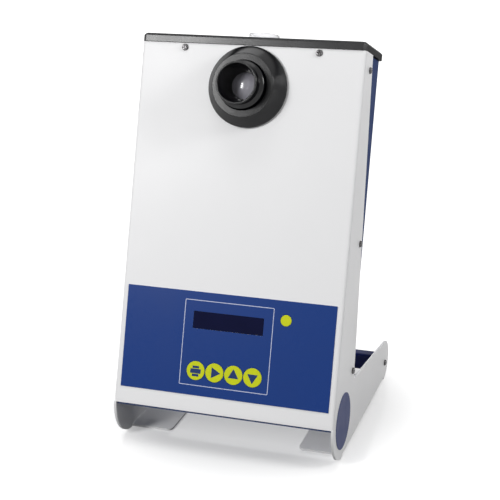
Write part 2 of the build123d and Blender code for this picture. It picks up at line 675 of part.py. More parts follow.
def eyepiece_tube():
    """Focusing tube: barrel, neck and rolled rim outside, funnel and lens seat inside."""
    stop = EYE_SPIGOT + REST_GAP + FOCUS_TRAVEL
    end = stop + STOP_LIP
    seat = LENS_RADIUS + SCREW_FIT
    rim_back = RIM_REACH - RIM_LENGTH
    outer = Polyline(
        (seat, end),
        (BARREL_RADIUS + STOP_LIP, end),
        (BARREL_RADIUS + STOP_LIP, stop),
        (BARREL_RADIUS, stop),
        (BARREL_RADIUS, -BARREL_STEP + 1),
        (BARREL_RADIUS - 1, -BARREL_STEP),
        (NECK_RADIUS, -BARREL_STEP - 1),
        (NECK_RADIUS, -rim_back),
        (RIM_RADIUS, -rim_back - 1),
        (RIM_RADIUS, -RIM_REACH + 1),
    )
    rim = ThreePointArc(
        (RIM_RADIUS, -RIM_REACH + 1),
        ((RIM_RADIUS + RIM_OPENING) / 2, -RIM_REACH),
        (RIM_OPENING, -RIM_REACH + 1),
    )
    funnel = ThreePointArc(
        (RIM_OPENING, -RIM_REACH + 1),
        (RIM_OPENING - FUNNEL_BOW, -(RIM_REACH + LENS_PLACE) / 2 - 1),
        (LENS_APERTURE, -LENS_PLACE - 1 - SEAT_LIP),
    )
    seat_line = Polyline(
        (LENS_APERTURE, -LENS_PLACE - 1 - SEAT_LIP),
        (LENS_APERTURE, -LENS_PLACE - 1),
        (seat, -LENS_PLACE - 1),
        (seat, end),
    )
    tube = revolve(make_face(outer + rim + funnel + seat_line), Axis.Y)
    return HEAD * Pos(0, 0, EYE_HEIGHT) * tube


def eye_lens():
    """Lens with a flat edge, bulged on both sides inside its seat."""
    y0 = -LENS_PLACE - 1 + SCREW_FIT
    y1 = y0 + LENS_EDGE
    clear = LENS_APERTURE - SCREW_FIT
    curve = (clear ** 2 + LENS_BULGE ** 2) / (2 * LENS_BULGE)
    body = rod_y(LENS_RADIUS, 0, 0, y0, y1)
    front = Pos(0, y0 - LENS_BULGE + curve, 0) * Sphere(curve) & rod_y(clear, 0, 0, y0 - 2 * LENS_BULGE, y0)
    back = Pos(0, y1 + LENS_BULGE - curve, 0) * Sphere(curve) & rod_y(clear, 0, 0, y1, y1 + 2 * LENS_BULGE)
    return HEAD * Pos(0, 0, EYE_HEIGHT) * (body + front + back)


def lens_ring():
    """Threaded ring that holds the lens on its seat."""
    y0 = -LENS_PLACE - 1 + LENS_EDGE + 2 * SCREW_FIT
    profile = [
        (LENS_APERTURE, y0), (LENS_RADIUS, y0), (LENS_RADIUS, y0 + LENS_RING), (LENS_APERTURE, y0 + LENS_RING)
    ]
    return HEAD * turned(profile, 0, EYE_HEIGHT)


# Control panel

def control_foil():
    foil = block(-FOIL_WIDTH / 2, FOIL_WIDTH / 2, -FOIL, 0, FOIL_LOW, FOIL_LOW + FOIL_HEIGHT)
    foil = foil - window_cut(0, -SHEET, SHEET)
    for x in KEY_X:
        foil = foil - rod_y(KEY_RADIUS + FIT, x, KEY_HEIGHT, -SHEET, SHEET)
    return HEAD * (foil - rod_y(ROUND_KEY_RADIUS + FIT, ROUND_KEY_X, ROUND_KEY_HEIGHT, -SHEET, SHEET))


def display_window():
    return HEAD * window_cut(-FIT, -FOIL + SCREW_FIT, SHEET)


def key(x, height, radius, stem):
    """A round key: top, stem through the guide and the collar that keeps it in."""
    top = rod_y(radius, x, height, -FOIL - KEY_PROUD, KEY_SKIRT)
    top = fillet(top.edges().filter_by(GeomType.CIRCLE).group_by(Axis.Y)[0], KEY_PROUD - SCREW_FIT)
    return HEAD * (
        top
        + rod_y(stem, x, height, KEY_SKIRT, STEM_END)
        + rod_y(stem + KEY_COLLAR, x, height, COLLAR_FRONT, COLLAR_FRONT + KEY_COLLAR)
    )


def key_guide():
    """Moulded plate behind the face with a bore for each key's stem."""
    left = KEY_X[0] - KEY_GUIDE_MARGIN
    right = ROUND_KEY_X + KEY_GUIDE_ARM
    low, high = KEY_HEIGHT - KEY_GUIDE_MARGIN, KEY_HEIGHT + KEY_GUIDE_MARGIN
    top = ROUND_KEY_HEIGHT + KEY_GUIDE_ARM + 2 * KEY_POST_RADIUS
    arm = ROUND_KEY_X - KEY_GUIDE_ARM
    plate = block(left, right, KEY_GUIDE_FRONT, KEY_GUIDE_BACK, low, high)
    plate = plate + block(arm, right, KEY_GUIDE_FRONT, KEY_GUIDE_BACK, low, top)
    inset = KEY_POST_RADIUS + SHEET / 4
    places = [(left + inset, low + inset), (left + inset, high - inset)]
    places = places + [(right - inset, low + inset), (ROUND_KEY_X, top - inset)]
    for x, z in places:
        plate = plate + rod_y(KEY_POST_RADIUS, x, z, SHEET, KEY_GUIDE_BACK)
    for x in KEY_X:
        plate = plate - rod_y(KEY_STEM + SLIDE_FIT, x, KEY_HEIGHT, 0, FRONT_BOARD_Y)
    return HEAD * (plate - rod_y(ROUND_KEY_STEM + SLIDE_FIT, ROUND_KEY_X, ROUND_KEY_HEIGHT, 0, FRONT_BOARD_Y))


def key_switches():
    """One small push switch on the front board behind each key."""
    switches = []
    half = SWITCH_SIZE / 2
    for x, z in [(x, KEY_HEIGHT) for x in KEY_X] + [(ROUND_KEY_X, ROUND_KEY_HEIGHT)]:
        body = block(x - half, x + half, PLUNGER_FRONT + SWITCH_RISE, FRONT_BOARD_Y, z - half, z + half)
        switches.append(body + rod_y(SWITCH_PLUNGER, x, z, PLUNGER_FRONT, FRONT_BOARD_Y))
    return HEAD * Compound(children=switches)


# Display module

def display_block(width, height, y0, y1):
    return block(-width / 2, width / 2, y0, y1, WINDOW_MIDDLE - height / 2, WINDOW_MIDDLE + height / 2)


def display_bezel():
    bezel = display_block(BEZEL_WIDTH, BEZEL_HEIGHT, BEZEL_FRONT, DISPLAY_BOARD_Y)
    bezel = chamfer(bezel.faces().sort_by(Axis.Y)[0].edges(), BEZEL_SHEET / 2)
    room = 2 * BEZEL_SHEET
    inside = display_block(BEZEL_WIDTH - room, BEZEL_HEIGHT - room, BEZEL_FRONT + BEZEL_SHEET, DISPLAY_BOARD_Y)
    opening = display_block(VIEW_AREA_WIDTH, VIEW_AREA_HEIGHT, 0, DISPLAY_BOARD_Y)
    return HEAD * (bezel - inside - opening)


def display_cell():
    room = 2 * (BEZEL_SHEET + FIT)
    y0 = BEZEL_FRONT + BEZEL_SHEET
    return HEAD * display_block(BEZEL_WIDTH - room, BEZEL_HEIGHT - room, y0, y0 + CELL_THICKNESS)


def display_backlight():
    room = 2 * (BEZEL_SHEET + FIT)
    y0 = BEZEL_FRONT + BEZEL_SHEET + CELL_THICKNESS
    return HEAD * display_block(BEZEL_WIDTH - room, BEZEL_HEIGHT - room, y0, DISPLAY_BOARD_Y)


def display_corners():
    inset = DISPLAY_HOLE_INSET
    half_w, half_h = DISPLAY_BOARD_WIDTH / 2 - inset, DISPLAY_BOARD_HEIGHT / 2 - inset
    return [(sx * half_w, WINDOW_MIDDLE + sz * half_h) for sx in (-1, 1) for sz in (-1, 1)]


def display_board():
    board = display_block(DISPLAY_BOARD_WIDTH, DISPLAY_BOARD_HEIGHT, DISPLAY_BOARD_Y, DISPLAY_BOARD_Y + BOARD)
    for x, z in display_corners():
        board = board - rod_y(M25 + FIT, x, z, 0, FRONT_BOARD_Y)
    return HEAD * board


def display_spacers():
    """Spacers between the display board and the front board."""
    spacers = [
        rod_y(2 * M25, x, z, DISPLAY_BOARD_Y + BOARD, FRONT_BOARD_Y) for x, z in display_corners()
    ]
    return HEAD * Compound(children=spacers)


# Boards and power parts

def front_board_corners():
    half = FRONT_BOARD_WIDTH / 2 - PILLAR_INSET
    low = FRONT_BOARD_LOW + PILLAR_INSET
    high = FRONT_BOARD_LOW + FRONT_BOARD_HEIGHT - PILLAR_INSET
    return [(x, z) for x in (-half, half) for z in (low, high)]


def front_board():
    half = FRONT_BOARD_WIDTH / 2
    high = FRONT_BOARD_LOW + FRONT_BOARD_HEIGHT
    board = block(-half, half, FRONT_BOARD_Y, FRONT_BOARD_Y + BOARD, FRONT_BOARD_LOW, high)
    for x, z in front_board_corners():
        board = board - rod_y(M3 + FIT, x, z, 0, HOUSING_DEPTH)
    return HEAD * board


def front_pillars():
    """Threaded pillars on the back of the face that carry the front board."""
    return HEAD * Compound(children=[
        rod_y(PILLAR_RADIUS, x, z, SHEET, FRONT_BOARD_Y)
        - rod_y(M3 + SCREW_FIT, x, z, FRONT_BOARD_Y - M25_LENGTH, FRONT_BOARD_Y)
        for x, z in front_board_corners()
    ])


def board_holes():
    """Screw places of the main board, shared by its standoffs and the back wall."""
    half = MAIN_BOARD_WIDTH / 2 - PILLAR_INSET
    low = MAIN_BOARD_LOW + PILLAR_INSET
    high = MAIN_BOARD_LOW + MAIN_BOARD_HEIGHT - PILLAR_INSET
    return [(MAIN_BOARD_X + sx * half, z) for sx in (-1, 1) for z in (low, high)]


def main_board():
    half = MAIN_BOARD_WIDTH / 2
    back = BACK_INSIDE - STANDOFF
    high = MAIN_BOARD_LOW + MAIN_BOARD_HEIGHT
    board = block(MAIN_BOARD_X - half, MAIN_BOARD_X + half, back - BOARD, back, MAIN_BOARD_LOW, high)
    for x, z in board_holes():
        board = board - rod_y(M3 + FIT, x, z, 0, HOUSING_DEPTH)
    return HEAD * board


def board_standoffs():
    return HEAD * Compound(children=[
        rod_y(PILLAR_RADIUS, x, z, BACK_INSIDE - STANDOFF, BACK_INSIDE)
        - rod_y(M3 + SCREW_FIT, x, z, 0, HOUSING_DEPTH)
        for x, z in board_holes()
    ])


def capacitors():
    """Two standing capacitors on the main board."""
    y1 = BACK_INSIDE - STANDOFF - BOARD
    z = MAIN_BOARD_LOW + MAIN_BOARD_HEIGHT / 3
    return HEAD * Compound(children=[
        rod_y(CAPACITOR_RADIUS, MAIN_BOARD_X + x, z, y1 - CAPACITOR_LENGTH, y1) for x in CAPACITOR_X
    ])


def heat_sink():
    """Finned heat sink on the main board."""
    y1 = BACK_INSIDE - STANDOFF - BOARD
    low = MAIN_BOARD_LOW + MAIN_BOARD_HEIGHT / 2
    left = MAIN_BOARD_X + PILLAR_INSET
    sink = block(left, left + SINK_WIDTH, y1 - 2 * SINK_FIN, y1, low, low + SINK_HEIGHT)
    step = (SINK_WIDTH - SINK_FIN) / (SINK_FINS - 1)
    for i in range(SINK_FINS):
        x = left + i * step
        sink = sink + block(x, x + SINK_FIN, y1 - SINK_DEPTH, y1, low, low + SINK_HEIGHT)
    return HEAD * sink


def transformer_core():
    y1 = BACK_INSIDE
    half_w, half_h = CORE_WIDTH / 2, CORE_HEIGHT / 2
    middle = y1 - COIL_DEPTH / 2
    core = block(
        TRANSFORMER_X - half_w, TRANSFORMER_X + half_w,
        middle - CORE_DEPTH / 2, middle + CORE_DEPTH / 2,
        TRANSFORMER_HEIGHT - half_h, TRANSFORMER_HEIGHT + half_h,
    )
    limb = CORE_WIDTH / 6
    for side in (-1, 1):
        x = TRANSFORMER_X + side * limb * 1.5
        core = core - block(
            x - limb / 2, x + limb / 2, 0, HOUSING_DEPTH,
            TRANSFORMER_HEIGHT - COIL_HEIGHT / 2, TRANSFORMER_HEIGHT + COIL_HEIGHT / 2,
        )
    foot_low = TRANSFORMER_HEIGHT - half_h
    for z in (foot_low, TRANSFORMER_HEIGHT + half_h - 2 * SHEET):
        core = core + block(
            TRANSFORMER_X - half_w, TRANSFORMER_X + half_w, middle, y1, z, z + 2 * SHEET
        )
    return HEAD * core


def transformer_coil():
    limb = CORE_WIDTH / 6
    y1 = BACK_INSIDE
    half_w = 2 * limb - FIT
    half_h = COIL_HEIGHT / 2 - FIT
    coil = block(
        TRANSFORMER_X - half_w, TRANSFORMER_X + half_w, y1 - COIL_DEPTH, y1 - FIT,
        TRANSFORMER_HEIGHT - half_h, TRANSFORMER_HEIGHT + half_h,
    )
    coil = fillet(coil.edges().filter_by(Axis.Z), HOUSING_BEND)
    slot = block(
        TRANSFORMER_X - limb - FIT, TRANSFORMER_X + limb + FIT,
        y1 - COIL_DEPTH / 2 - CORE_DEPTH / 2 - FIT, y1 - COIL_DEPTH / 2 + CORE_DEPTH / 2 + FIT,
        0, HOUSING_TOP,
    )
    return HEAD * (coil - slot)


# Back wall fittings

def inlet_screw_places():
    return [(INLET_X + side * INLET_SCREW_PITCH / 2, BACK_ROW) for side in (-1, 1)]


def socket_outline():
    """The socket's opening: a rectangle with its two upper corners cut off."""
    opening = Rectangle(SOCKET_WIDTH, SOCKET_HEIGHT)
    return chamfer(opening.vertices().group_by(Axis.Y)[0], SOCKET_CHAMFER)


def mains_inlet():
    half_w, half_h = INLET_PLATE_WIDTH / 2, INLET_PLATE_HEIGHT / 2
    out = HOUSING_DEPTH + INLET_PLATE
    plate = block(INLET_X - half_w, INLET_X + half_w, HOUSING_DEPTH, out, BACK_ROW - half_h, BACK_ROW + half_h)
    plate = chamfer(plate.edges().filter_by(Axis.Y), 2 * SHEET)
    half_w, half_h = INLET_BODY_WIDTH / 2, INLET_BODY_HEIGHT / 2
    back = HOUSING_DEPTH - INLET_BODY_DEPTH
    body = block(INLET_X - half_w, INLET_X + half_w, back, out, BACK_ROW - half_h, BACK_ROW + half_h)
    inlet = plate + body
    socket = extrude(socket_outline(), SOCKET_DEPTH + SHEET)
    inlet = inlet - Pos(INLET_X, out + SHEET, BACK_ROW - SOCKET_DROP) * Rot(90, 0, 0) * socket
    drawer_z = BACK_ROW + DRAWER_RAISE
    half_w, half_h = DRAWER_WIDTH / 2 + REST_GAP, DRAWER_HEIGHT / 2 + REST_GAP
    room = HOUSING_DEPTH + INLET_PLATE - DRAWER_DEPTH
    low, high = drawer_z - half_h, drawer_z + half_h
    inlet = inlet - block(INLET_X - half_w, INLET_X + half_w, room, out + SHEET, low, high)
    for x, z in inlet_screw_places():
        inlet = inlet - rod_y(M3 + FIT, x, z, 0, 2 * HOUSING_DEPTH)
    return HEAD * inlet


def inlet_pins():
    """The three flat pins in the socket, the middle one set apart."""
    out = HOUSING_DEPTH + INLET_PLATE
    base = out - SOCKET_DEPTH
    pins = []
    for x, lift in ((-PIN_PITCH / 2, -PIN_OFFSET), (0, 0), (PIN_PITCH / 2, -PIN_OFFSET)):
        z = BACK_ROW - SOCKET_DROP + lift
        half = PIN_WIDTH / 2
        pin = block(INLET_X + x - half, INLET_X + x + half, base, base + PIN_LENGTH, z, z + PIN_HEIGHT)
        tip = pin.faces().sort_by(Axis.Y)[-1].edges()
        pins.append(chamfer(tip, half / 2))
    return HEAD * Compound(children=pins)


def fuse_drawer():
    """Drawer that pulls out of the inlet, with a cradle for two fuses."""
    out = HOUSING_DEPTH + INLET_PLATE
    z = BACK_ROW + DRAWER_RAISE
    half_w, half_h = DRAWER_WIDTH / 2, DRAWER_HEIGHT / 2
    back = out - DRAWER_DEPTH + REST_GAP
    body = block(INLET_X - half_w, INLET_X + half_w, back, out, z - half_h, z + half_h)
    hollow = block(
        INLET_X - half_w + DRAWER_WALL, INLET_X + half_w - DRAWER_WALL,
        back + DRAWER_WALL, out - 2 * DRAWER_WALL, z - half_h + DRAWER_WALL, z + 2 * half_h,
    )
    lip = block(
        INLET_X - half_w, INLET_X + half_w,
        out, out + DRAWER_LIP, z - half_h, z + half_h,
    )
    grip = block(
        INLET_X - half_w / 2, INLET_X + half_w / 2,
        out + DRAWER_LIP, out + 2 * DRAWER_LIP, z + half_h - DRAWER_WALL, z + half_h,
    )
    return HEAD * (body - hollow + lip + grip)


def fuses():
    """Two glass fuses that lie across the drawer."""
    out = HOUSING_DEPTH + INLET_PLATE
    z = BACK_ROW + DRAWER_RAISE - DRAWER_HEIGHT / 2 + DRAWER_WALL + FUSE_RADIUS
    length = DRAWER_WIDTH - 2 * DRAWER_WALL - 2 * FIT
    left = INLET_X - length / 2
    return HEAD * Compound(children=[
        rod_x(FUSE_RADIUS, out - FUSE_FRONT - i * FUSE_PITCH, z, left, left + length) for i in range(2)
    ])


def rocker_axis():
    """Depth of the rocker's pivot."""
    return HOUSING_DEPTH + ROCKER_FRAME - ROCKER_HEIGHT / 4


def switch_body():
    """Snap-in body of the mains switch, with its front frame."""
    half_w, half_h = ROCKER_WIDTH / 2, ROCKER_HEIGHT / 2
    out = HOUSING_DEPTH + ROCKER_FRAME
    back = HOUSING_DEPTH - ROCKER_BODY_DEPTH
    frame = block(
        ROCKER_X - half_w - SHEET, ROCKER_X + half_w + SHEET, HOUSING_DEPTH, out,
        BACK_ROW - half_h - SHEET, BACK_ROW + half_h + SHEET,
    )
    frame = chamfer(frame.faces().sort_by(Axis.Y)[-1].edges(), ROCKER_FRAME / 3)
    body = block(ROCKER_X - half_w, ROCKER_X + half_w, back, out, BACK_ROW - half_h, BACK_ROW + half_h)
    room_w, room_h = half_w - ROCKER_WALL, half_h - ROCKER_WALL / 2
    room = block(
        ROCKER_X - room_w, ROCKER_X + room_w, back + 2 * SHEET, out + SHEET,
        BACK_ROW - room_h, BACK_ROW + room_h,
    )
    pin_hole = rod_x(ROCKER_PIVOT + SLIDE_FIT, rocker_axis(), BACK_ROW, ROCKER_X - half_w, ROCKER_X + half_w)
    return HEAD * (frame + body - room - pin_hole)


def power_rocker():
    """Rocker with a hollowed face, its pivot pins moulded on, resting tilted to off."""
    reach = ROCKER_HEIGHT / 2 - ROCKER_WALL / 2 - ROCKER_END_GAP
    half_w = ROCKER_WIDTH / 2 - ROCKER_WALL - REST_GAP
    rise = ROCKER_HEIGHT / 4
    face = ThreePointArc((rise, -reach), (rise - ROCKER_HOLLOW, 0), (rise, reach))
    back = Polyline(
        (rise, reach), (-ROCKER_BACK, reach), (1 - 2 * ROCKER_BACK, 0), (-ROCKER_BACK, -reach), (rise, -reach)
    )
    profile = face + back
    rocker = extrude(Plane.YZ * make_face(profile), half_w, both=True)
    pins = rod_x(ROCKER_PIVOT, 0, 0, -ROCKER_WIDTH / 2 + SCREW_FIT, ROCKER_WIDTH / 2 - SCREW_FIT)
    return HEAD * Pos(ROCKER_X, rocker_axis(), BACK_ROW) * Rot(-ROCKER_TILT, 0, 0) * (rocker + pins)


def port_outline(width, height):
    """The slanted outline of the data port's shell."""
    slope = height * sin(radians(PORT_SLANT))
    half = width / 2
    points = ((-half, height / 2), (half, height / 2), (half - slope, -height / 2), (-half + slope, -height / 2))
    outline = make_face(Polyline(*points, close=True))
    return fillet(outline.vertices(), PORT_SHELL_HEIGHT / 4)


def data_port():
    """Port flange behind the back wall, with the slanted shell that stands out through it."""
    half_w, half_h = PORT_WIDTH / 2, PORT_HEIGHT / 2
    y1 = BACK_INSIDE
    flange = block(PORT_X - half_w, PORT_X + half_w, y1 - SHEET, y1, BACK_ROW - half_h, BACK_ROW + half_h)
    shell = extrude(port_outline(PORT_SHELL_WIDTH, PORT_SHELL_HEIGHT), PORT_SHELL_DEPTH + SHEET)
    port = flange + Pos(PORT_X, y1 + PORT_SHELL_DEPTH, BACK_ROW) * Rot(90, 0, 0) * shell
    body = block(
        PORT_X - half_w + PORT_EAR, PORT_X + half_w - PORT_EAR,
        y1 - PORT_BODY, y1 - SHEET, BACK_ROW - half_h, BACK_ROW + half_h,
    )
    for x in port_nut_places():
        port = port - rod_y(M3 + FIT, x, BACK_ROW, 0, 2 * HOUSING_DEPTH)
    return HEAD * (port + body)


def port_nut_places():
    return [PORT_X + side * PORT_NUT_PITCH / 2 for side in (-1, 1)]


def port_nuts():
    """Two hexagonal posts beside the port."""
    nuts = []
    for x in port_nut_places():
        hexagon = extrude(RegularPolygon(PORT_NUT_FLAT, 6, major_radius=False), PORT_NUT_LENGTH)
        nut = Pos(x, HOUSING_DEPTH + PORT_NUT_LENGTH, BACK_ROW) * Rot(90, 0, 0) * hexagon
        nuts.append(nut + rod_y(M3, x, BACK_ROW, BACK_INSIDE - M25_LENGTH, HOUSING_DEPTH))
    return HEAD * Compound(children=nuts)


# Crossbar

def rear_crossbar():
    """Folded channel between the feet, open at the back, with a lug at each end."""
    y = TIP_Y + BAR_BACK
    y0, y1 = y - BAR_DEPTH / 2, y + BAR_DEPTH / 2
    z0, z1 = BAR_MIDDLE_Z - BAR_HEIGHT / 2, BAR_MIDDLE_Z + BAR_HEIGHT / 2
    end = INNER - FIT
    bar = block(-end, end, y0, y1, z0, z1)
    bar = fillet(bar.edges().filter_by(Axis.X).group_by(Axis.Y)[0], BAR_BEND)
    inner_end = end - BAR_SHEET
    inner = block(-inner_end, inner_end, y0 + BAR_SHEET, y1 + BAR_SHEET, z0 + BAR_SHEET, z1 - BAR_SHEET)
    bar = bar - inner
    return bar - rod_x(M3 + SCREW_FIT, y, BAR_MIDDLE_Z, -WIDTH, WIDTH)


def bar_nuts():
    """A nut inside each end lug of the crossbar."""
    x0 = INNER - FIT - BAR_SHEET
    nut = extrude(RegularPolygon(BAR_NUT_RADIUS, 6), BAR_NUT_LENGTH)
    nut = Pos(x0 - BAR_NUT_LENGTH, TIP_Y + BAR_BACK, BAR_MIDDLE_Z) * Rot(0, 90, 0) * nut
    nut = nut - rod_x(M3 + SCREW_FIT, TIP_Y + BAR_BACK, BAR_MIDDLE_Z, 0, WIDTH)
    return Compound(children=[nut, mirror(nut, Plane.YZ)])


# Screws

def screw(radius, head_radius, head_height, length):
    """A pan-head screw along Y, its head's underside at 0 and its head towards -Y."""
    head = rod_y(head_radius, 0, 0, -head_height, 0)
    head = fillet(head.edges().filter_by(GeomType.CIRCLE).group_by(Axis.Y)[0], HEAD_ROUND * head_height)
    return head + rod_y(radius, 0, 0, 0, length)


def m3_screw():
    return screw(M3, M3_HEAD, M3_HEAD_HEIGHT, M3_LENGTH)


def face_screws():
    z = FACE_HEIGHT - FACE_SCREW_DROP
    one = screw(M25, M25_HEAD, M25_HEAD_HEIGHT, M25_LENGTH)
    return HEAD * Compound(children=[Pos(x, 0, z) * one for x in (-LUG_X, LUG_X)])


def side_screws():
    screws = []
    for depth, height in side_screw_places():
        right = Pos(HALF, depth, height) * Rot(0, 0, 90) * m3_screw()
        screws.append(right)
        screws.append(mirror(right, Plane.YZ))
    return HEAD * Compound(children=screws)


def foot_screws():
    right = Pos(HALF, TIP_Y + BAR_BACK, BAR_MIDDLE_Z) * Rot(0, 0, 90) * m3_screw()
    return Compound(children=[right, mirror(right, Plane.YZ)])


def inlet_screws():
    out = HOUSING_DEPTH + INLET_PLATE
    return HEAD * Compound(children=[
        Pos(x, out, z) * Rot(0, 0, 180) * m3_screw() for x, z in inlet_screw_places()
    ])


def board_screws():
    """Screws that hold the main board, from the outside of the back wall, and the front board."""
    turn = Rot(0, 0, 180)
    outside = [Pos(x, HOUSING_DEPTH, z) * turn * m3_screw() for x, z in board_holes()]
    front = [
        Pos(x, FRONT_BOARD_Y + BOARD, z) * turn * screw(M3, M3_HEAD, M3_HEAD_HEIGHT, M25_LENGTH)
        for x, z in front_board_corners()
    ]
    return HEAD * Compound(children=outside + front)


# Every piece by its name

PIECES = {
    "front_cover": front_cover(),
    "side_disc_right": side_disc(1),
    "side_disc_left": side_disc(-1),
    "rear_housing": rear_housing(),
    "top_cap": top_cap(),
    "draught_shield": draught_shield(),
    "tube_guide": tube_guide(),
    "heating_block": heating_block(),
    "heater_cartridges": heater_cartridges(),
    "temperature_sensor": temperature_sensor(),
    "oven_sleeve": oven_sleeve(),
    "oven_glass": oven_glass(),
    "oven_bracket": oven_bracket(),
    "lamp_holder": lamp_holder(),
    "lamp": lamp(),
    "eyepiece_flange": eyepiece_flange(),
    "eyepiece_nut": eyepiece_nut(),
    "eyepiece_tube": eyepiece_tube(),
    "eye_lens": eye_lens(),
    "lens_ring": lens_ring(),
    "control_foil": control_foil(),
    "display_window": display_window(),
    "key_round": key(ROUND_KEY_X, ROUND_KEY_HEIGHT, ROUND_KEY_RADIUS, ROUND_KEY_STEM),
    "key_guide": key_guide(),
    "key_switches": key_switches(),
    "display_bezel": display_bezel(),
    "display_cell": display_cell(),
    "display_backlight": display_backlight(),
    "display_board": display_board(),
    "display_spacers": display_spacers(),
    "front_board": front_board(),
    "front_pillars": front_pillars(),
    "main_board": main_board(),
    "board_standoffs": board_standoffs(),
    "capacitors": capacitors(),
    "heat_sink": heat_sink(),
    "transformer_core": transformer_core(),
    "transformer_coil": transformer_coil(),
    "mains_inlet": mains_inlet(),
    "inlet_pins": inlet_pins(),
    "fuse_drawer": fuse_drawer(),
    "fuses": fuses(),
    "switch_body": switch_body(),
    "power_rocker": power_rocker(),
    "data_port": data_port(),
    "port_nuts": port_nuts(),
    "rear_crossbar": rear_crossbar(),
    "bar_nuts": bar_nuts(),
    "face_screws": face_screws(),
    "side_screws": side_screws(),
    "foot_screws": foot_screws(),
    "inlet_screws": inlet_screws(),
    "board_screws": board_screws(),
}
for key_name, key_x in zip(KEY_NAMES, KEY_X):
    PIECES["key_" + key_name] = key(key_x, KEY_HEIGHT, KEY_RADIUS, KEY_STEM)

os.makedirs("parts", exist_ok=True)
for node, shape in PIECES.items():
    export_step(shape, "parts/" + node + ".step")
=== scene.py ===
"""Looks of a leaning bench instrument on two folded feet, with an eyepiece and a key panel.

Every length is in metres. The head leans back, so most pieces are worked out in head coordinates: x to the
right, depth behind the face, and height up the face.
"""

import logging
from dataclasses import dataclass, field
from enum import Enum
from math import cos, pi, radians, sin

import bmesh
import bpy
import numpy as np
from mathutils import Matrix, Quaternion, Vector

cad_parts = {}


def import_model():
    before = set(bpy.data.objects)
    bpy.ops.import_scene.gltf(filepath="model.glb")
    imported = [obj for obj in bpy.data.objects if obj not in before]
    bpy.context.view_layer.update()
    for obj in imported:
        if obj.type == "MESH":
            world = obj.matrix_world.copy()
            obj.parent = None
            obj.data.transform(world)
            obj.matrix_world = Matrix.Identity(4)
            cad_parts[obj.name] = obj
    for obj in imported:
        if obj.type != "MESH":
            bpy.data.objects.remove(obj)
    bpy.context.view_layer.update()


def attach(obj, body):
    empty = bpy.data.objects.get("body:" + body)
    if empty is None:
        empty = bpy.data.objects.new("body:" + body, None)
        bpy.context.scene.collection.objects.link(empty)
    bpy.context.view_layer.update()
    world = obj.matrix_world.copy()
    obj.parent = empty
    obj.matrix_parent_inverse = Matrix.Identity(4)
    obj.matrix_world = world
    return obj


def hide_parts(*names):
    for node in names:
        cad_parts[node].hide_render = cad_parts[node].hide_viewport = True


LOG = logging.getLogger("instrument")
MM = 0.001
MAIN_BODY = "instrument"
SIDE = np.array([1.0, 0.0, 0.0])
NODE_GAP = 1e-6
PIECE_GAP = 1e-7
SLIVER = 1e-8
# Texture units: at scale 1 a wave has bands of about 1 / 6.3, and bricks lie in rows of 1 / 4
WAVE_STEP = 6.3
BRICK_STEP = 4
# A shape is its vertices, as rows of three, and its faces, as lists of vertex numbers
Shape = tuple[np.ndarray, list]


def tint(red: float, green: float, blue: float) -> tuple[float, float, float]:
    """Linear colour of a display colour.

    Args:
        red, green, blue: the display values, from 0 to 255.

    Returns:
        The three linear values that a shader socket takes.
    """
    value = np.array([red, green, blue]) / 255.0
    linear = np.where(value <= 0.04045, value / 12.92, ((value + 0.055) / 1.055) ** 2.4)
    return tuple(float(part) for part in linear)


# Frames of reference

@dataclass(frozen=True)
class HeadFrame:
    """Where the leaning head stands in the frame."""

    lean: float = radians(17.0)
    foot: tuple[float, float, float] = (0.0, -0.1112193, 0.040)

    @property
    def up(self) -> np.ndarray:
        """Direction up the face."""
        return np.array([0.0, sin(self.lean), cos(self.lean)])

    @property
    def inward(self) -> np.ndarray:
        """Direction from the face into the housing."""
        return np.array([0.0, cos(self.lean), -sin(self.lean)])

    @property
    def axes(self) -> np.ndarray:
        """The three head directions, as rows of frame coordinates."""
        return np.stack([SIDE, self.inward, self.up])

    def place(self, points: np.ndarray) -> np.ndarray:
        """Turns head coordinates into frame coordinates.

        Args:
            points: rows of x, depth and height.

        Returns:
            Rows of x, y and z.
        """
        return np.asarray(points, float) @ self.axes + np.array(self.foot)

    def read(self, points: np.ndarray) -> np.ndarray:
        """Turns frame coordinates into head coordinates.

        Args:
            points: rows of x, y and z.

        Returns:
            Rows of x, depth and height.
        """
        return (np.asarray(points, float) - np.array(self.foot)) @ self.axes.T


HEAD = HeadFrame()


def node_points(node: str) -> np.ndarray:
    """Reads the vertices of a CAD node.

    Args:
        node: the node's name.

    Returns:
        Rows of x, y and z.
    """
    mesh = bpy.data.objects[node].data
    flat = np.empty(3 * len(mesh.vertices))
    mesh.vertices.foreach_get("co", flat)
    return flat.reshape(-1, 3)


def head_extent(node: str) -> tuple[np.ndarray, np.ndarray]:
    """Lowest and highest head coordinates of a CAD node."""
    points = HEAD.read(node_points(node))
    return points.min(axis=0), points.max(axis=0)


def node_islands(node: str) -> list[np.ndarray]:
    """Splits a CAD node into its solids.

    Args:
        node: the node's name.

    Returns:
        One array of vertex rows for each solid, in a fixed order.
    """
    merged = bmesh.new()
    merged.from_mesh(bpy.data.objects[node].data)
    bmesh.ops.remove_doubles(merged, verts=merged.verts, dist=NODE_GAP)
    merged.verts.ensure_lookup_table()
    seen: set[int] = set()
    islands = []
    for first in merged.verts:
        if first.index in seen:
            continue
        seen.add(first.index)
        waiting, points = [first], []
        while waiting:
            vertex = waiting.pop()
            points.append(tuple(vertex.co))
            for edge in vertex.link_edges:
                other = edge.other_vert(vertex)
                if other.index not in seen:
                    seen.add(other.index)
                    waiting.append(other)
        islands.append(np.array(points))
    merged.free()
    return sorted(islands, key=lambda rows: tuple(np.round(rows.mean(axis=0), 4)))


# Meshes

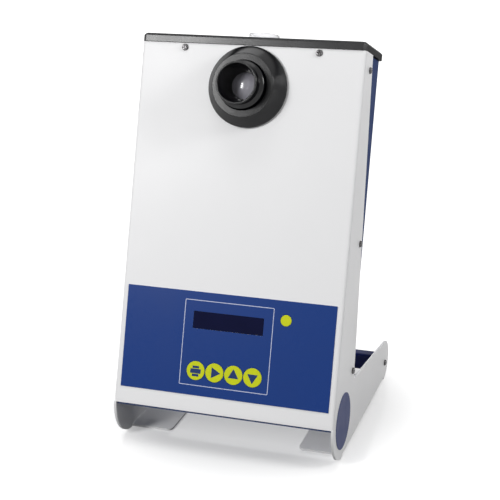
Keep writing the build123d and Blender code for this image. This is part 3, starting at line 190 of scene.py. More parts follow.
def grid_faces(rows: int, columns: int, wrap: bool) -> np.ndarray:
    """Quads that join a grid of vertices.

    Args:
        rows: number of rows in the grid.
        columns: number of vertices in a row.
        wrap: whether the last column joins the first.

    Returns:
        Rows of four vertex numbers.
    """
    step = np.arange(columns if wrap else columns - 1)
    line = np.arange(rows - 1)
    low = (line[:, None] * columns + step[None, :]).ravel()
    following = (line[:, None] * columns + (step[None, :] + 1) % columns).ravel()
    return np.stack([low, following, following + columns, low + columns], axis=1)


def make_piece(
    name: str, vertices: np.ndarray, faces: list | np.ndarray, smooth: bool = True,
) -> bpy.types.Object:
    """Makes an object at the origin, with poles merged and faces outwards.

    Args:
        name: the piece's name.
        vertices: rows of x, y and z.
        faces: vertex numbers of each face.
        smooth: whether the faces are shaded smooth.

    Returns:
        The new object, in the scene.
    """
    mesh = bpy.data.meshes.new(name)
    mesh.from_pydata(np.asarray(vertices).tolist(), [], [list(map(int, face)) for face in faces])
    work = bmesh.new()
    work.from_mesh(mesh)
    bmesh.ops.remove_doubles(work, verts=work.verts, dist=PIECE_GAP)
    bmesh.ops.dissolve_degenerate(work, edges=work.edges, dist=SLIVER)
    bmesh.ops.recalc_face_normals(work, faces=work.faces)
    work.to_mesh(mesh)
    work.free()
    mesh.polygons.foreach_set("use_smooth", [smooth] * len(mesh.polygons))
    piece = bpy.data.objects.new(name, mesh)
    bpy.context.collection.objects.link(piece)
    return piece


def slab(outline: np.ndarray, depth: float, thickness: float) -> Shape:
    """A flat shape on the face: its outline at two depths, joined by a wall.

    Args:
        outline: rows of x and height, in order round the shape.
        depth: depth of the back of the slab.
        thickness: how far the front stands before the back.

    Returns:
        Vertices in head coordinates, and faces.
    """
    count = len(outline)
    back = np.column_stack([outline[:, 0], np.full(count, depth), outline[:, 1]])
    front = back - np.array([0.0, thickness, 0.0])
    faces = [list(range(count)), list(range(count, 2 * count))] + grid_faces(2, count, True).tolist()
    return np.vstack([back, front]), faces


def joined(parts: list[Shape]) -> Shape:
    """Puts several sets of vertices and faces into one.

    Args:
        parts: the sets, each with faces that count from its own first vertex.

    Returns:
        All vertices, and faces that count from the first of them.
    """
    vertices, faces, start = [], [], 0
    for points, own in parts:
        vertices.append(points)
        faces.extend([[start + index for index in face] for face in own])
        start += len(points)
    return np.vstack(vertices), faces


def rounded_box(
    width: float, height: float, radius: float, centre: tuple[float, float], count: int = 32,
) -> np.ndarray:
    """Outline of a rectangle with round corners: four quarter circles, one about each inner corner.

    Args:
        width, height: outer size.
        radius: corner radius.
        centre: x and height of the middle.
        count: number of points, none of which lies where two quarters meet.

    Returns:
        Rows of x and height.
    """
    angle = np.linspace(0, 2 * pi, count, endpoint=False) + pi / (2 * count)
    across = np.sign(np.cos(angle)) * (width / 2 - radius) + radius * np.cos(angle)
    along = np.sign(np.sin(angle)) * (height / 2 - radius) + radius * np.sin(angle)
    return np.column_stack([across + centre[0], along + centre[1]])


def ring_band(outer: np.ndarray, inner: np.ndarray, depth: float, thickness: float) -> Shape:
    """A closed flat band between two outlines, with its four sides.

    Args:
        outer, inner: rows of x and height, as many in both.
        depth: depth of the back of the band.
        thickness: how far the front stands before the back.

    Returns:
        Vertices in head coordinates, and faces.
    """
    front = depth - thickness
    loops = []
    for outline, level in ((outer, depth), (outer, front), (inner, front), (inner, depth)):
        loops.append(np.column_stack([outline[:, 0], np.full(len(outline), level), outline[:, 1]]))
    loops.append(loops[0])
    return np.vstack(loops), grid_faces(len(loops), len(outer), True).tolist()


def turned_profile(radius: np.ndarray, turns: int) -> tuple[np.ndarray, np.ndarray]:
    """A profile's radii turned about an axis: radius * cos(angle) and radius * sin(angle).

    Args:
        radius: the radius at each point of the profile.
        turns: number of steps round the axis.

    Returns:
        Two grids, with a row for each point of the profile.
    """
    angle = np.linspace(0, 2 * pi, turns, endpoint=False)
    return radius[:, None] * np.cos(angle), radius[:, None] * np.sin(angle)


# Finishes

class Sheet:
    """A material's nodes, with short calls to add and join them."""

    mix_first = 6
    mix_second = 7
    mix_result = 2

    def __init__(self, name: str) -> None:
        """Starts an empty material of that name."""
        self.material = bpy.data.materials.new(name)
        self.material.use_nodes = True
        self.tree = self.material.node_tree
        self.tree.nodes.clear()
        self.output = self.tree.nodes.new("ShaderNodeOutputMaterial")

    def add(self, kind: str, **values: object) -> bpy.types.Node:
        """Adds a node.

        Args:
            kind: the node's type, without its ShaderNode start.
            values: sockets by name with underscores for blanks, or properties of the node.

        Returns:
            The new node.
        """
        node = self.tree.nodes.new("ShaderNode" + kind)
        for key, value in values.items():
            label = key.replace("_", " ")
            if label in node.inputs:
                node.inputs[label].default_value = value
            else:
                setattr(node, key, value)
        return node

    def link(self, start: bpy.types.NodeSocket, end: bpy.types.NodeSocket) -> None:
        """Joins an output socket to an input socket."""
        self.tree.links.new(start, end)

    def head_space(self, across: float = 1.0) -> bpy.types.NodeSocket:
        """Object coordinates, turned to stand straight on the head.

        Args:
            across: factor along x, less than 1 for a pattern that is drawn out sideways.

        Returns:
            The socket with the turned coordinates.
        """
        place = self.add("TexCoord")
        mapping = self.add("Mapping", Scale=(across, 1.0, 1.0), Rotation=(-HEAD.lean, 0.0, 0.0))
        self.link(place.outputs["Object"], mapping.inputs["Vector"])
        return mapping.outputs["Vector"]

    def noise(self, where: bpy.types.NodeSocket, size: float, detail: float = 3.0) -> bpy.types.NodeSocket:
        """Adds a noise.

        Args:
            where: coordinates of the noise.
            size: about how large a spot is, in metres.
            detail: how many finer layers the noise has.

        Returns:
            A socket from 0 to 1.
        """
        node = self.add("TexNoise", Scale=1.0 / size, Detail=detail, Roughness=0.55)
        self.link(where, node.inputs["Vector"])
        return node.outputs["Fac"]

    def spread(self, source: bpy.types.NodeSocket, low: float, high: float) -> bpy.types.NodeSocket:
        """Stretches the middle of a noise.

        Args:
            source: the noise.
            low, high: values at the two ends of its middle.

        Returns:
            A socket from low to high.
        """
        node = self.add("MapRange", From_Min=0.3, From_Max=0.7, To_Min=low, To_Max=high)
        self.link(source, node.inputs["Value"])
        return node.outputs["Result"]

    def blend(self, factor: bpy.types.NodeSocket, first: tuple, second: tuple) -> bpy.types.NodeSocket:
        """Mixes two colours.

        Args:
            factor: a socket from 0, for the first colour, to 1, for the second.
            first, second: linear colours.

        Returns:
            The socket with the mixed colour.
        """
        node = self.add("Mix", data_type="RGBA")
        self.link(factor, node.inputs[0])
        node.inputs[self.mix_first].default_value = (*first, 1.0)
        node.inputs[self.mix_second].default_value = (*second, 1.0)
        return node.outputs[self.mix_result]

    def bumps(self, layers: list[tuple[bpy.types.NodeSocket, float]]) -> bpy.types.NodeSocket:
        """Chains bump layers.

        Args:
            layers: a height socket and a depth in metres for each layer.

        Returns:
            The socket with the bumped normal.
        """
        normal = None
        for height, depth in layers:
            node = self.add("Bump", Strength=1.0, Distance=depth)
            self.link(height, node.inputs["Height"])
            if normal is not None:
                self.link(normal, node.inputs["Normal"])
            normal = node.outputs["Normal"]
        return normal


class Pattern(Enum):
    """What runs over a finish besides its grain."""

    PLAIN = "plain"
    BRUSHED = "brushed"
    LAYERED = "layered"
    WOUND = "wound"
    TRACKS = "tracks"


@dataclass(frozen=True)
class Finish:
    """A surface with a grain, cloudy roughness and a slightly uneven colour.

    Grain and cloud are the sizes of their spots, and a coarser grain, larger and deeper by two factors, lies
    under the fine one. The fine grain also moves the roughness, by a share of its range. Unevenness is how
    much darker the colour gets in the clouds.
    Graze is the share of the sheen that is left at low angles, where a rough skin shades itself, and it fades
    over the graze span. Pitch is the width of a band or track of the pattern, and relief is its depth.
    """

    name: str
    slot: str
    color: tuple[float, float, float]
    roughness: tuple[float, float]
    grain: float
    grain_depth: float
    cloud: float
    unevenness: float
    coarse: float = 4.0
    coarse_depth: float = 1.5
    ripple: float = 0.3
    metallic: float = 0.0
    ior: float = 1.5
    specular: float = 0.5
    graze: float = 1.0
    graze_span: tuple[float, float] = (0.3, 0.75)
    pattern: Pattern = Pattern.PLAIN
    pitch: float = 1.0 * MM
    relief: float = 0.06 * MM
    brush_stretch: float = 0.04

    def build(self) -> bpy.types.Material:
        """Makes the material with its nodes.

        Returns:
            The new material.
        """
        sheet = Sheet(self.name)
        where = sheet.head_space()
        along = sheet.head_space(self.brush_stretch if self.pattern is Pattern.BRUSHED else 1.0)
        clouds = sheet.noise(where, self.cloud)
        fine = sheet.noise(along, self.grain, 2.0)
        dark = tuple(part * (1.0 - self.unevenness) for part in self.color)
        shader = sheet.add(
            "BsdfPrincipled", Metallic=self.metallic, IOR=self.ior, Specular_IOR_Level=self.specular)
        sheet.link(sheet.blend(sheet.spread(clouds, 0.0, 1.0), self.color, dark), shader.inputs["Base Color"])
        mixed = sheet.add("Math", operation="ADD", use_clamp=True)
        sheet.link(sheet.spread(clouds, *self.roughness), mixed.inputs[0])
        ripple = self.ripple * (self.roughness[1] - self.roughness[0])
        sheet.link(sheet.spread(fine, -ripple, ripple), mixed.inputs[1])
        sheet.link(mixed.outputs[0], shader.inputs["Roughness"])
        if self.graze < 1.0:
            facing = sheet.add("LayerWeight").outputs["Facing"]
            sheen = sheet.add(
                "MapRange", From_Min=self.graze_span[0], From_Max=self.graze_span[1],
                To_Min=self.specular, To_Max=self.specular * self.graze)
            sheet.link(facing, sheen.inputs["Value"])
            sheet.link(sheen.outputs["Result"], shader.inputs["Specular IOR Level"])
        coarse = sheet.noise(where, self.coarse * self.grain, 1.0)
        layers = [(coarse, self.coarse_depth * self.grain_depth), (fine, self.grain_depth)]
        layers += self.pattern_layers(sheet, where)
        sheet.link(sheet.bumps(layers), shader.inputs["Normal"])
        sheet.link(shader.outputs["BSDF"], sheet.output.inputs["Surface"])
        return sheet.material

    def pattern_layers(
        self, sheet: Sheet, where: bpy.types.NodeSocket,
    ) -> list[tuple[bpy.types.NodeSocket, float]]:
        """Adds the pattern's texture, if the finish has one.

        Args:
            sheet: the material's nodes.
            where: coordinates of the pattern.

        Returns:
            A list with the pattern's height socket and depth, or an empty list.
        """
        bands = 1.0 / (WAVE_STEP * self.pitch)
        if self.pattern is Pattern.LAYERED:
            wave = sheet.add("TexWave", bands_direction="Y", Scale=bands, Distortion=0.3)
        elif self.pattern is Pattern.WOUND:
            wave = sheet.add("TexWave", bands_direction="X", Scale=bands, Distortion=1.2)
        elif self.pattern is Pattern.TRACKS:
            wave = sheet.add("TexBrick", Scale=1.0 / (BRICK_STEP * self.pitch), Mortar_Size=0.06)
        else:
            return []
        sheet.link(where, wave.inputs["Vector"])
        return [(wave.outputs["Fac"], self.relief)]


@dataclass(frozen=True)
class ClearFinish:
    """Clear glass or plastic with a faintly uneven surface. Frost is the milky share of it."""

    name: str
    slot: str
    color: tuple[float, float, float]
    roughness: tuple[float, float] = (0.02, 0.05)
    frost: float = 0.0
    ior: float = 1.5
    cloud: float = 8 * MM
    cloud_depth: float = 0.01 * MM

    def build(self) -> bpy.types.Material:
        """Makes the material with its nodes.

        Returns:
            The new material.
        """
        sheet = Sheet(self.name)
        clouds = sheet.noise(sheet.head_space(), self.cloud)
        clear = sheet.add(
            "BsdfPrincipled", Base_Color=(*self.color, 1.0), IOR=self.ior,
            Transmission_Weight=1.0 - self.frost)
        sheet.link(sheet.spread(clouds, *self.roughness), clear.inputs["Roughness"])
        sheet.link(sheet.bumps([(clouds, self.cloud_depth)]), clear.inputs["Normal"])
        sheet.link(clear.outputs["BSDF"], sheet.output.inputs["Surface"])
        return sheet.material


class Look(Enum):
    """Every finish of the instrument, by what it is on."""

    WHITE_COAT = Finish(
        "white coat", slot="white_powder_coat", color=tint(238, 238, 239), roughness=(0.36, 0.44),
        grain=0.8 * MM, grain_depth=0.01 * MM, cloud=90 * MM, unevenness=0.015, specular=0.25)
    BLUE_COAT = Finish(
        "blue coat", slot="blue_powder_coat", color=tint(52, 70, 116), roughness=(0.36, 0.48),
        grain=0.7 * MM, grain_depth=0.008 * MM, cloud=50 * MM, unevenness=0.06, specular=0.2,
        graze=0.02)
    NAVY_COAT = Finish(
        "navy coat", slot="navy_powder_coat", color=tint(20, 30, 86), roughness=(0.34, 0.45),
        grain=0.7 * MM, grain_depth=0.008 * MM, cloud=30 * MM, unevenness=0.1, specular=0.2, graze=0.1)
    CAP = Finish(
        "cap plastic", slot="black_cap", color=tint(12, 12, 16), roughness=(0.24, 0.29),
        grain=0.35 * MM, grain_depth=0.004 * MM, cloud=30 * MM, unevenness=0.12, specular=0.37,
        graze=0.01)
    POLISHED = Finish(
        "polished black", slot="black_gloss", color=tint(4, 4, 8), roughness=(0.16, 0.21),
        grain=0.5 * MM, grain_depth=0.002 * MM, cloud=12 * MM, unevenness=0.15, specular=0.37,
        graze=0.15)
    FOIL = Finish(
        "blue foil", slot="blue_foil", color=tint(8, 54, 126), roughness=(0.26, 0.32),
        grain=0.25 * MM, grain_depth=0.003 * MM, cloud=40 * MM, unevenness=0.06, specular=0.22)
    DISC = Finish(
        "disc foil", slot="blue_disc", color=tint(80, 88, 128), roughness=(0.34, 0.44),
        grain=0.3 * MM, grain_depth=0.004 * MM, cloud=20 * MM, unevenness=0.06, specular=0.2, graze=0.1)
    KEY = Finish(
        "key yellow", slot="key_yellow", color=tint(206, 214, 18), roughness=(0.36, 0.46),
        grain=0.25 * MM, grain_depth=0.006 * MM, cloud=6 * MM, unevenness=0.06, specular=0.2)
    INK = Finish(
        "print ink", slot="blue_foil", color=tint(20, 50, 104), roughness=(0.45, 0.55),
        grain=0.2 * MM, grain_depth=0.003 * MM, cloud=4 * MM, unevenness=0.1, specular=0.2)
    LINE = Finish(
        "white line", slot="blue_foil", color=tint(196, 202, 226), roughness=(0.4, 0.5),
        grain=0.2 * MM, grain_depth=0.003 * MM, cloud=6 * MM, unevenness=0.05)
    WINDOW = Finish(
        "dark window", slot="window", color=tint(14, 18, 54), roughness=(0.06, 0.1),
        grain=2 * MM, grain_depth=0.0005 * MM, cloud=20 * MM, unevenness=0.2, specular=0.06)
    STEEL = Finish(
        "stainless steel", slot="steel", color=tint(190, 189, 188), roughness=(0.25, 0.38),
        grain=0.12 * MM, grain_depth=0.004 * MM, cloud=4 * MM, unevenness=0.15, metallic=1.0,
        pattern=Pattern.BRUSHED)
    # Painted shade: the screws take the steel at about half its brightness, which stands in for the shade on
    # their heads and for the dark surroundings that they reflect.
    SHADED_SCREW = Finish(
        "shaded screw steel", slot="steel", color=tint(92, 91, 92), roughness=(0.2, 0.3),
        grain=0.12 * MM, grain_depth=0.004 * MM, cloud=3 * MM, unevenness=0.25, metallic=1.0,
        pattern=Pattern.BRUSHED)
    ALUMINIUM = Finish(
        "machined aluminium", slot="aluminium", color=tint(200, 200, 204), roughness=(0.3, 0.42),
        grain=0.15 * MM, grain_depth=0.005 * MM, cloud=8 * MM, unevenness=0.1, metallic=1.0,
        pattern=Pattern.BRUSHED)
    BRASS = Finish(
        "plain brass", slot="brass", color=tint(196, 158, 84), roughness=(0.25, 0.4),
        grain=0.15 * MM, grain_depth=0.004 * MM, cloud=5 * MM, unevenness=0.15, metallic=1.0,
        pattern=Pattern.BRUSHED)
    CERAMIC = Finish(
        "cream insulation", slot="ceramic", color=tint(222, 214, 196), roughness=(0.7, 0.85),
        grain=0.5 * MM, grain_depth=0.04 * MM, cloud=9 * MM, unevenness=0.1)
    BOARD = Finish(
        "board resist", slot="board_green", color=tint(22, 92, 48), roughness=(0.2, 0.32),
        grain=0.3 * MM, grain_depth=0.004 * MM, cloud=12 * MM, unevenness=0.2, pattern=Pattern.TRACKS,
        pitch=0.8 * MM)
    BLACK_PART = Finish(
        "moulded black", slot="black_part", color=tint(30, 30, 32), roughness=(0.4, 0.55),
        grain=0.3 * MM, grain_depth=0.015 * MM, cloud=15 * MM, unevenness=0.15)
    WHITE_PART = Finish(
        "moulded white", slot="white_part", color=tint(228, 228, 222), roughness=(0.4, 0.52),
        grain=0.3 * MM, grain_depth=0.01 * MM, cloud=12 * MM, unevenness=0.06)
    MARK = Finish(
        "white mark", slot="white_part", color=tint(225, 225, 222), roughness=(0.5, 0.6),
        grain=0.2 * MM, grain_depth=0.003 * MM, cloud=4 * MM, unevenness=0.05)
    COIL = Finish(
        "taped winding", slot="copper_coil", color=tint(168, 110, 44), roughness=(0.3, 0.45),
        grain=0.5 * MM, grain_depth=0.02 * MM, cloud=8 * MM, unevenness=0.2, pattern=Pattern.WOUND,
        pitch=2.0 * MM)
    CORE = Finish(
        "layered core", slot="core_steel", color=tint(120, 120, 124), roughness=(0.4, 0.6),
        grain=0.3 * MM, grain_depth=0.02 * MM, cloud=8 * MM, unevenness=0.25, metallic=1.0,
        pattern=Pattern.LAYERED, pitch=0.5 * MM)
    SHIELD = ClearFinish(
        "frosted tube", slot="clear_plastic", color=tint(250, 250, 252), roughness=(0.12, 0.2),
        frost=0.35, ior=1.12)
    GLASS = ClearFinish(
        "clear glass", slot="glass", color=tint(240, 243, 245), roughness=(0.0, 0.02), frost=0.0)
    LENS = ClearFinish(
        "coated lens", slot="glass", color=tint(196, 194, 204), roughness=(0.08, 0.14), frost=0.5)


class Finishes:
    """Makes each finish once, and puts it on pieces."""

    def __init__(self) -> None:
        """Starts with nothing made."""
        self.made: dict[Look, bpy.types.Material] = {}

    def put(self, piece: bpy.types.Object, look: Look) -> None:
        """Gives a piece one finish, in place of what it had.

        Args:
            piece: the piece.
            look: its finish, which is made when it is first asked for.
        """
        if look not in self.made:
            self.made[look] = look.value.build()
        piece.data.materials.clear()
        piece.data.materials.append(self.made[look])

    def new_piece(self, piece: bpy.types.Object, look: Look, body: str) -> bpy.types.Object:
        """Finishes a piece that is not in the CAD and lets it ride on a body.

        Args:
            piece: the piece.
            look: its finish.
            body: the body's name.

        Returns:
            The same piece.
        """
        self.put(piece, look)
        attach(piece, body)
        return piece


# Pieces of the CAD model

@dataclass(frozen=True)
class EdgeStyle:
    """How a CAD node's edges are rounded.

    Corners closer than the weld become one. Faces that meet at less than the flat angle become one face, and
    edges above the edge angle are rounded.
    """

    radius: float = 0.1 * MM
    angle: float = radians(32)
    segments: int = 2
    weld: float = 0.001 * MM
    flat: float = radians(0.5)


@dataclass
class CadDressing:
    """Gives every CAD node its finish and its edge style."""

    finishes: Finishes
    looks: dict[Look, list[str]] = field(default_factory=lambda: {
        Look.WHITE_COAT: ["front_cover"],
        Look.BLUE_COAT: ["rear_housing"],
        Look.NAVY_COAT: ["rear_crossbar"],
        Look.CAP: ["top_cap"],
        Look.POLISHED: ["eyepiece_flange", "eyepiece_tube", "power_rocker"],
        Look.FOIL: ["control_foil"],
        Look.DISC: ["side_disc_right", "side_disc_left"],
        Look.KEY: ["key_print", "key_start", "key_up", "key_down", "key_round"],
        Look.WINDOW: ["display_window"],
        Look.STEEL: [
            "heater_cartridges", "temperature_sensor", "display_bezel", "data_port", "port_nuts",
            "front_pillars", "bar_nuts"],
        Look.ALUMINIUM: ["heating_block", "oven_bracket", "heat_sink"],
        Look.BRASS: ["board_standoffs", "display_spacers", "inlet_pins"],
        Look.CERAMIC: ["oven_sleeve"],
        Look.BOARD: ["main_board", "front_board", "display_board"],
        Look.BLACK_PART: [
            "lamp_holder", "eyepiece_nut", "lens_ring", "key_guide", "key_switches", "capacitors",
            "mains_inlet", "fuse_drawer", "switch_body"],
        Look.WHITE_PART: ["tube_guide", "display_backlight"],
        Look.COIL: ["transformer_coil"],
        Look.CORE: ["transformer_core"],
        Look.SHIELD: ["draught_shield"],
        Look.GLASS: ["oven_glass", "lamp", "display_cell", "fuses"],
        Look.LENS: ["eye_lens"],
    })
    rounded: dict[str, float] = field(default_factory=lambda: {
        "front_cover": 0.45 * MM, "rear_housing": 0.3 * MM, "top_cap": 0.35 * MM,
        "rear_crossbar": 0.5 * MM, "eyepiece_flange": 0.3 * MM, "eyepiece_tube": 0.15 * MM,
        "control_foil": 0.08 * MM, "mains_inlet": 0.3 * MM, "draught_shield": 0.25 * MM,
        "power_rocker": 0.3 * MM, "fuse_drawer": 0.2 * MM,
    })

    def build(self) -> int:
        """Dresses the nodes.

        Returns:
            How many nodes were dressed.
        """
        count = 0
        for look, nodes in self.looks.items():
            for node in nodes:
                piece = bpy.data.objects[node]
                self.finishes.put(piece, look)
                style = EdgeStyle(self.rounded[node]) if node in self.rounded else EdgeStyle()
                self.round_edges(piece, style)
                count += 1
        return count

    def round_edges(self, piece: bpy.types.Object, style: EdgeStyle) -> None:
        """Merges a node's loose triangles, rounds its edges and shades its curves smooth.

        Args:
            piece: the CAD node.
            style: how its edges are rounded.
        """
        mesh = piece.data
        mesh.polygons.foreach_set("use_smooth", [True] * len(mesh.polygons))
        weld = piece.modifiers.new("weld", "WELD")
        weld.merge_threshold = style.weld
        flat = piece.modifiers.new("flats", "DECIMATE")
        flat.decimate_type = "DISSOLVE"
        flat.angle_limit = style.flat
        bevel = piece.modifiers.new("edges", "BEVEL")
        bevel.limit_method = "ANGLE"
        bevel.angle_limit = style.angle
        bevel.width = style.radius
        bevel.segments = style.segments
        bevel.use_clamp_overlap = True
        even = piece.modifiers.new("shading", "WEIGHTED_NORMAL")
        even.mode = "FACE_AREA"
        even.weight = 100


# Screws

@dataclass(frozen=True)
class ScrewShape:
    """A pan-head screw with a cross recess, in its own frame: head towards -Z, underside at 0.

    The first four values are the radius and height of the head and the radius and length of the shank. The
    ones below the numbers of points are shares. Of the head's radius: the dome, the underside and the slots'
    half width and half length. Of the head's height: the crown of the dome, the top, drop and skirt of the
    rim, and the recess. The chamfer is a share of the shank's radius, and the rim starts at a share of a
    right angle. Steepness is how sharply the slots' walls fall.
    """

    head: float
    head_height: float
    shank: float
    length: float
    turns: int = 56
    dome_points: int = 26
    rim_points: int = 7
    dome: float = 0.72
    crown: float = 0.16
    rim_start: float = 0.1
    rim_top: float = 0.92
    rim_drop: float = 0.62
    skirt: float = 0.1
    underside: float = 0.96
    chamfer: float = 0.25
    recess_depth: float = 0.62
    slot_width: float = 0.13
    slot_length: float = 0.56
    steepness: int = 8

    def recess(self, across: np.ndarray, along: np.ndarray) -> np.ndarray:
        """How deep the cross is cut at a point, from 0 to 1.

        Each slot is a product of two soft steps, 1 / (1 + t^n) with the steepness n, one over its half width
        and one over its half length, and the cross is the larger of its two slots.

        Args:
            across, along: places on the head, from its middle.

        Returns:
            The depth at each place.
        """
        wide, long, steep = self.slot_width * self.head, self.slot_length * self.head, self.steepness
        one = 1.0 / (1.0 + (across / wide) ** steep) / (1.0 + (along / long) ** steep)
        other = 1.0 / (1.0 + (along / wide) ** steep) / (1.0 + (across / long) ** steep)
        return np.maximum(one, other)

    def surface(self, spin: float) -> Shape:
        """The screw's skin.

        A profile of radius against height turns round the axis: a shallow dome, a rounded rim, the flat
        underside of the head, then the shank and its chamfered end. Points on the dome sink by the recess.

        Args:
            spin: turn of the cross about the axis, in radians.

        Returns:
            Vertices and faces.
        """
        inner = np.linspace(0.0, self.dome * self.head, self.dome_points)
        dome = -self.head_height * (1.0 - self.crown * (inner / self.head) ** 2)
        bend = np.linspace(self.rim_start, 1.0, self.rim_points) * pi / 2
        rim = self.dome * self.head + (1.0 - self.dome) * self.head * np.sin(bend)
        drop = -self.head_height * self.rim_top + (1.0 - np.cos(bend)) * self.rim_drop * self.head_height
        chamfer = self.chamfer * self.shank
        tip, end = self.shank - chamfer, self.length - chamfer
        outer = np.array([self.head, self.head * self.underside, self.shank, self.shank, tip, 0.0])
        level = np.array([-self.skirt * self.head_height, 0.0, 0.0, end, self.length, self.length])
        radius = np.concatenate([inner, rim, outer])
        height = np.concatenate([dome, drop, level])
        across, along = turned_profile(radius, self.turns)
        turned_x = across * cos(spin) - along * sin(spin)
        turned_y = across * sin(spin) + along * cos(spin)
        rise = np.repeat(height[:, None], self.turns, axis=1)
        top = slice(self.dome_points)
        rise[top] += self.recess_depth * self.head_height * self.recess(turned_x[top], turned_y[top])
        points = np.stack([across, along, rise], axis=-1).reshape(-1, 3)
        return points, grid_faces(len(radius), self.turns, True).tolist()


@dataclass
class Screws:
    """Screws with real heads, one for each plain solid of the CAD's screw nodes.

    Turns of the cross are in degrees. A solid's rim is what lies further out than a share of its head, and
    its shank is measured on a thin slice at its end.
    """

    finishes: Finishes
    nodes: tuple[str, ...] = ("face_screws", "side_screws", "foot_screws", "inlet_screws", "board_screws")
    first_turn: float = 17.0
    next_turn: float = 53.0
    widest: float = 7.5 * MM
    rim_share: float = 0.9
    end_slice: float = 0.01 * MM

    def build(self) -> int:
        """Replaces each screw node.

        Returns:
            How many screws were made.
        """
        count = 0
        for node in self.nodes:
            parts = []
            for number, points in enumerate(node_islands(node)):
                parts.append(self.one(points, radians(self.first_turn + self.next_turn * number)))
            vertices, faces = joined(parts)
            piece = make_piece(node.replace("_screws", "_screw_set"), vertices, faces)
            self.finishes.new_piece(piece, Look.SHADED_SCREW, MAIN_BODY)
            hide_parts(node)
            count += len(parts)
        return count

    def one(self, points: np.ndarray, spin: float) -> Shape:
        """A screw where a CAD solid lies.

        The axis is found from the solid itself. It runs across the cover where the solid is longer that way
        than any screw is wide, and else into the housing. The screw's head is at the end whose points lie far
        from the axis.

        Args:
            points: the solid's vertices.
            spin: turn of the cross.

        Returns:
            Vertices and faces.
        """
        middle = (points.min(axis=0) + points.max(axis=0)) / 2
        size = points.max(axis=0) - points.min(axis=0)
        axis = SIDE if size[0] > self.widest else HEAD.inward
        run = points @ axis
        reach = points - middle
        off = np.linalg.norm(reach - np.outer(reach @ axis, axis), axis=1)
        head = off.max()
        on_rim = off > self.rim_share * head
        if run[on_rim].mean() > (run.min() + run.max()) / 2:
            axis = -axis
            run = -run
        underside = run[on_rim].max()
        shape = ScrewShape(
            head=head, head_height=underside - run.min(), length=run.max() - underside,
            shank=off[run > run.max() - self.end_slice].max())
        skin, faces = shape.surface(spin)
        side = np.cross(axis, HEAD.up if abs(axis[0]) > 0.5 else SIDE)
        side = side / np.linalg.norm(side)
        third = np.cross(axis, side)
        centre = middle + axis * (underside - middle @ axis)
        return centre + skin @ np.stack([side, third, axis]), faces


# The panel

@dataclass
class Panel:
    """Prints on the foil and the keys, each a thin raised layer of ink."""

    finishes: Finishes
    ink: float = 0.05 * MM
    lift: float = 0.01 * MM
    line: float = 0.6 * MM
    frame_width: float = 80 * MM
    frame_low: float = 23.4 * MM
    frame_high: float = 97.2 * MM
    frame_corners: tuple[float, float] = (1.2 * MM, 0.6 * MM)
    arrow_size: float = 4.9 * MM
    arrow_corner: float = 0.3 * MM
    arrow_steps: int = 5
    printer_body: tuple[float, float, float, float] = (9.6 * MM, 4.0 * MM, 0.6 * MM, -0.3 * MM)
    sheet_above: tuple[float, float, float, float] = (6.0 * MM, 2.0 * MM, 0.2 * MM, 3.2 * MM)
    sheet_below: tuple[float, float, float, float] = (6.0 * MM, 2.2 * MM, 0.2 * MM, -3.9 * MM)

    def build(self) -> int:
        """Adds the frame line and the four signs.

        Returns:
            How many pieces were made.
        """
        self.frame_line()
        self.sign("key_print", "print_sign", "print_key", self.printer())
        self.sign("key_start", "start_sign", "start_key", [self.arrow(0.0)])
        self.sign("key_up", "up_sign", "up_key", [self.arrow(pi / 2)])
        self.sign("key_down", "down_sign", "down_key", [self.arrow(-pi / 2)])
        return 5

    def frame_line(self) -> None:
        """A thin rectangle round the display and the keys."""
        front = head_extent("control_foil")[0][1]
        width, height, line = self.frame_width, self.frame_high - self.frame_low, self.line
        centre = (0.0, (self.frame_high + self.frame_low) / 2)
        outer = rounded_box(width + line, height + line, self.frame_corners[0], centre)
        inner = rounded_box(width - line, height - line, self.frame_corners[1], centre)
        vertices, faces = ring_band(outer, inner, front + self.lift, self.ink)
        piece = make_piece("panel_line", HEAD.place(vertices), faces, smooth=False)
        self.finishes.new_piece(piece, Look.LINE, MAIN_BODY)

    def sign(self, node: str, name: str, body: str, outlines: list[np.ndarray]) -> None:
        """Puts a sign in the middle of a key.

        Args:
            node: the key's CAD node.
            name: the new piece's name.
            body: the body that the key is.
            outlines: closed outlines about the middle of the key, as rows of x and height.
        """
        low, high = head_extent(node)
        middle = np.array([low[0] + high[0], low[2] + high[2]]) / 2
        parts = [slab(outline + middle, low[1] + self.lift, self.ink) for outline in outlines]
        vertices, faces = joined(parts)
        piece = make_piece(name, HEAD.place(vertices), faces, smooth=False)
        self.finishes.new_piece(piece, Look.INK, body)

    def arrow(self, turn: float) -> np.ndarray:
        """A triangle with slightly round corners, turned by an angle.

        Each corner is a short arc about one of three points on a circle.

        Args:
            turn: where the arrow points, in radians from x towards up.

        Returns:
            Rows of x and height.
        """
        size, soft, steps = self.arrow_size, self.arrow_corner, self.arrow_steps
        corner = np.repeat(np.array([0.0, 2 * pi / 3, 4 * pi / 3]), steps)
        bend = np.tile(np.linspace(-pi / 3, pi / 3, steps), 3)
        across = size * np.cos(corner) + soft * np.cos(corner + bend)
        along = size * np.sin(corner) + soft * np.sin(corner + bend)
        return np.column_stack([
            across * cos(turn) - along * sin(turn), across * sin(turn) + along * cos(turn)])

    def printer(self) -> list[np.ndarray]:
        """Outlines of a small printer: a body, a sheet above and a sheet below."""
        return [
            rounded_box(width, height, corner, (0.0, middle))
            for width, height, corner, middle in (self.printer_body, self.sheet_above, self.sheet_below)
        ]


